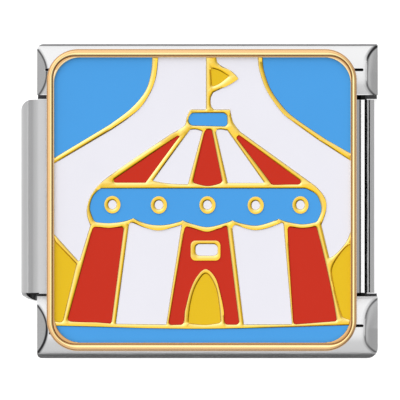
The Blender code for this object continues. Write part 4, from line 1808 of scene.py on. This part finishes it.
        # Painted light of each point: none on the plate's side, highlight and shade on the shores.
        painted_light = [np.zeros(len(outline) * 2)]
        foot = skin.add(to_space(outline, self.seat))
        brim = skin.add(to_space(outline, self.rim_height(outline, self.wire_top)))
        skin.bands([foot, brim])
        skin.fill([outline], [foot], upwards=False)
        flats = [(outline, brim)]
        rooms = iter(self.wire_space([loop for cell in cells for loop, _ in cell.sides()]))
        for cell in cells:
            floors = []
            for loop, side in cell.sides():
                floors.append((loop, np.arange(skin.count, skin.count + len(loop))))
                flats.append(self.shore(skin, loop, side, next(rooms)))
                painted_light.append(self.painted_light(loop, side))
            skin.fill(*zip(*floors), upwards=True)
        skin.fill(*zip(*flats), upwards=True)
        make_piece(
            "picture_wires", skin, WireFinish().build(), Body.LINK, ["picture_plate"],
            {"painted_light": np.concatenate(painted_light)},
        )

    def build_enamel(self, cell: Cell, material: bpy.types.Material) -> None:
        """Makes one cell's enamel: it climbs the wires as a falling curve of the distance to them.

        Args:
            cell: the cell.
            material: its enamel.
        """
        skin = Skin()
        tops = []
        feet = []
        shares: list[np.ndarray] = []
        for loop, side in cell.sides():
            wall = shifted(loop, -side * self.clearance)
            rows = [skin.add(to_space(wall, self.pocket_floor + self.clearance))]
            shares.append(np.ones(len(loop)))
            edge = wall
            for inset, climb, share in self.climb_steps:
                edge = shifted(wall, -side * max(inset, TINY))
                rows.append(skin.add(to_space(edge, self.enamel_top + self.climb * climb)))
                shares.append(np.full(len(loop), share))
            skin.bands(rows, flipped=side < 0)
            tops.append((edge, rows[-1]))
            feet.append((wall, rows[0]))
        skin.fill(*zip(*tops), upwards=True)
        skin.fill(*zip(*feet), upwards=False)
        make_piece(
            f"enamel_fill_{cell.name}", skin, material, Body.LINK, [f"enamel_{cell.name}"],
            {"edge": np.concatenate(shares)},
        )

    def build(self) -> None:
        """Makes and dresses the plate and every enamel."""
        cells = self.cells()
        self.build_plate(cells)
        enamels = {
            slot: EnamelFinish(name=slot.value, colour=colour).build()
            for slot, colour in ENAMEL_COLOURS.items()
        }
        for cell in cells:
            self.build_enamel(cell, enamels[cell.slot])


# Studio


@dataclass
class Studio:
    """White floor, a soft sky that differs with its direction, and the long lens above the link."""

    lens: float = 1650.0
    sensor: float = 36.0
    clip: Point = (0.001, 10.0)
    frame_width: float = 11.456
    aim: Point = (0.017, 0.0315)
    aim_height: float = 3.0
    floor_half: float = 400.0
    sky_left: tuple[Point, ...] = (
        (0.0, 0.8), (0.25, 0.8), (0.42, 0.72), (0.5, 0.9), (0.76, 1.1), (0.87, 1.35), (1.0, 1.32),
    )
    sky_right: tuple[Point, ...] = (
        (0.0, 0.2), (0.25, 0.4), (0.47, 0.8), (0.67, 0.52), (0.84, 0.5), (0.94, 0.75), (1.0, 1.32),
    )
    sky_top: tuple[Point, ...] = (
        (0.0, 0.44), (0.11, 0.46), (0.17, 1.2), (0.5, 1.35), (1.0, 1.32),
    )
    sky_bottom: tuple[Point, ...] = (
        (0.0, 0.14), (0.45, 0.15), (0.49, 0.9), (0.86, 0.95), (0.94, 1.2), (1.0, 1.32),
    )
    gleam: tuple[Point, ...] = (
        (0.0, 0.9), (0.2, 1.5), (0.4, 1.95), (0.85, 1.95), (0.95, 1.6), (1.0, 1.32),
    )
    shade: tuple[Point, ...] = (
        (0.0, 0.1), (0.4, 0.12), (0.6, 0.4), (0.8, 0.7), (0.93, 1.0), (1.0, 1.32),
    )
    slant_power: float = 9.0
    zenith: float = 1e-6
    strength: float = 2.0

    def build_sky(self) -> None:
        """Makes the world: ramps over the height of a direction, weighed by where it points.

        The weights are the square of the direction's Y over its reach sideways, given to the ramp
        of the top or the bottom, and what is left over to that of the left or right. The gleam and
        the shade lie about the two slanting directions, by a power of how near to them it points.
        """
        world = bpy.data.worlds.new("soft_sky")
        world.use_nodes = True
        bpy.context.scene.world = world
        graph = Graph(world.node_tree)
        direction = graph.node("ShaderNodeTexCoord").outputs["Generated"]
        parts = graph.node("ShaderNodeSeparateXYZ", Vector=direction)
        across, along, height = (Flow(graph, parts.outputs[axis]) for axis in ("X", "Y", "Z"))
        flat = (across * across + along * along + self.zenith) ** 0.5
        lean = along / flat
        slant = (along - across) / flat * math.sqrt(0.5)

        def sky(stops: tuple[Point, ...]) -> Flow:
            """One side's ramp, scaled to fit between 0 and 1."""
            scaled = tuple((place, value / self.strength) for place, value in stops)
            return graph.ramp(height.clamped(), scaled, "LINEAR")

        rightward = (across / flat * 2.0 + 0.5).clamped()
        tone = graph.mix_colour(rightward, sky(self.sky_left), sky(self.sky_right))
        for weight, power, stops in (
            (lean, 2.0, self.sky_top),
            (0.0 - lean, 2.0, self.sky_bottom),
            (slant, self.slant_power, self.gleam),
            (0.0 - slant, self.slant_power, self.shade),
        ):
            tone = graph.mix_colour(weight.clamped() ** power, tone, sky(stops))
        glow = graph.node("ShaderNodeBackground", Color=tone, Strength=self.strength)
        graph.node("ShaderNodeOutputWorld", Surface=glow.outputs[0])

    def build_floor(self) -> None:
        """Makes the floor: one square sheet."""
        half = self.floor_half
        corners = np.array([(-half, -half, 0.0), (half, -half, 0.0), (half, half, 0.0), (-half, half, 0.0)])
        floor = new_object("floor", corners, [(0, 1, 2, 3)])
        floor.data.materials.append(FloorFinish().build())

    def build_camera(self) -> None:
        """Puts the camera straight above the link, as far off as its lens and the frame ask."""
        data = bpy.data.cameras.new("camera")
        data.lens = self.lens
        data.sensor_width = self.sensor
        data.clip_start, data.clip_end = self.clip
        camera = bpy.data.objects.new("camera", data)
        distance = self.frame_width * self.lens / self.sensor
        camera.location = (self.aim[0] * MM, self.aim[1] * MM, (self.aim_height + distance) * MM)
        bpy.context.scene.collection.objects.link(camera)
        bpy.context.scene.camera = camera

    def build(self) -> None:
        """Makes the studio and sets the plain colour view."""
        self.build_sky()
        self.build_floor()
        self.build_camera()
        bpy.context.scene.view_settings.view_transform = "Standard"


def main() -> None:
    """Builds every sub-assembly in order."""
    logging.basicConfig(level=logging.INFO, format="%(name)s: %(message)s")
    SteelShell().build()
    Connector().build()
    LeafSprings().build()
    Bezel().build()
    Picture().build()
    Studio().build()


if __name__ == "__main__":
    main()
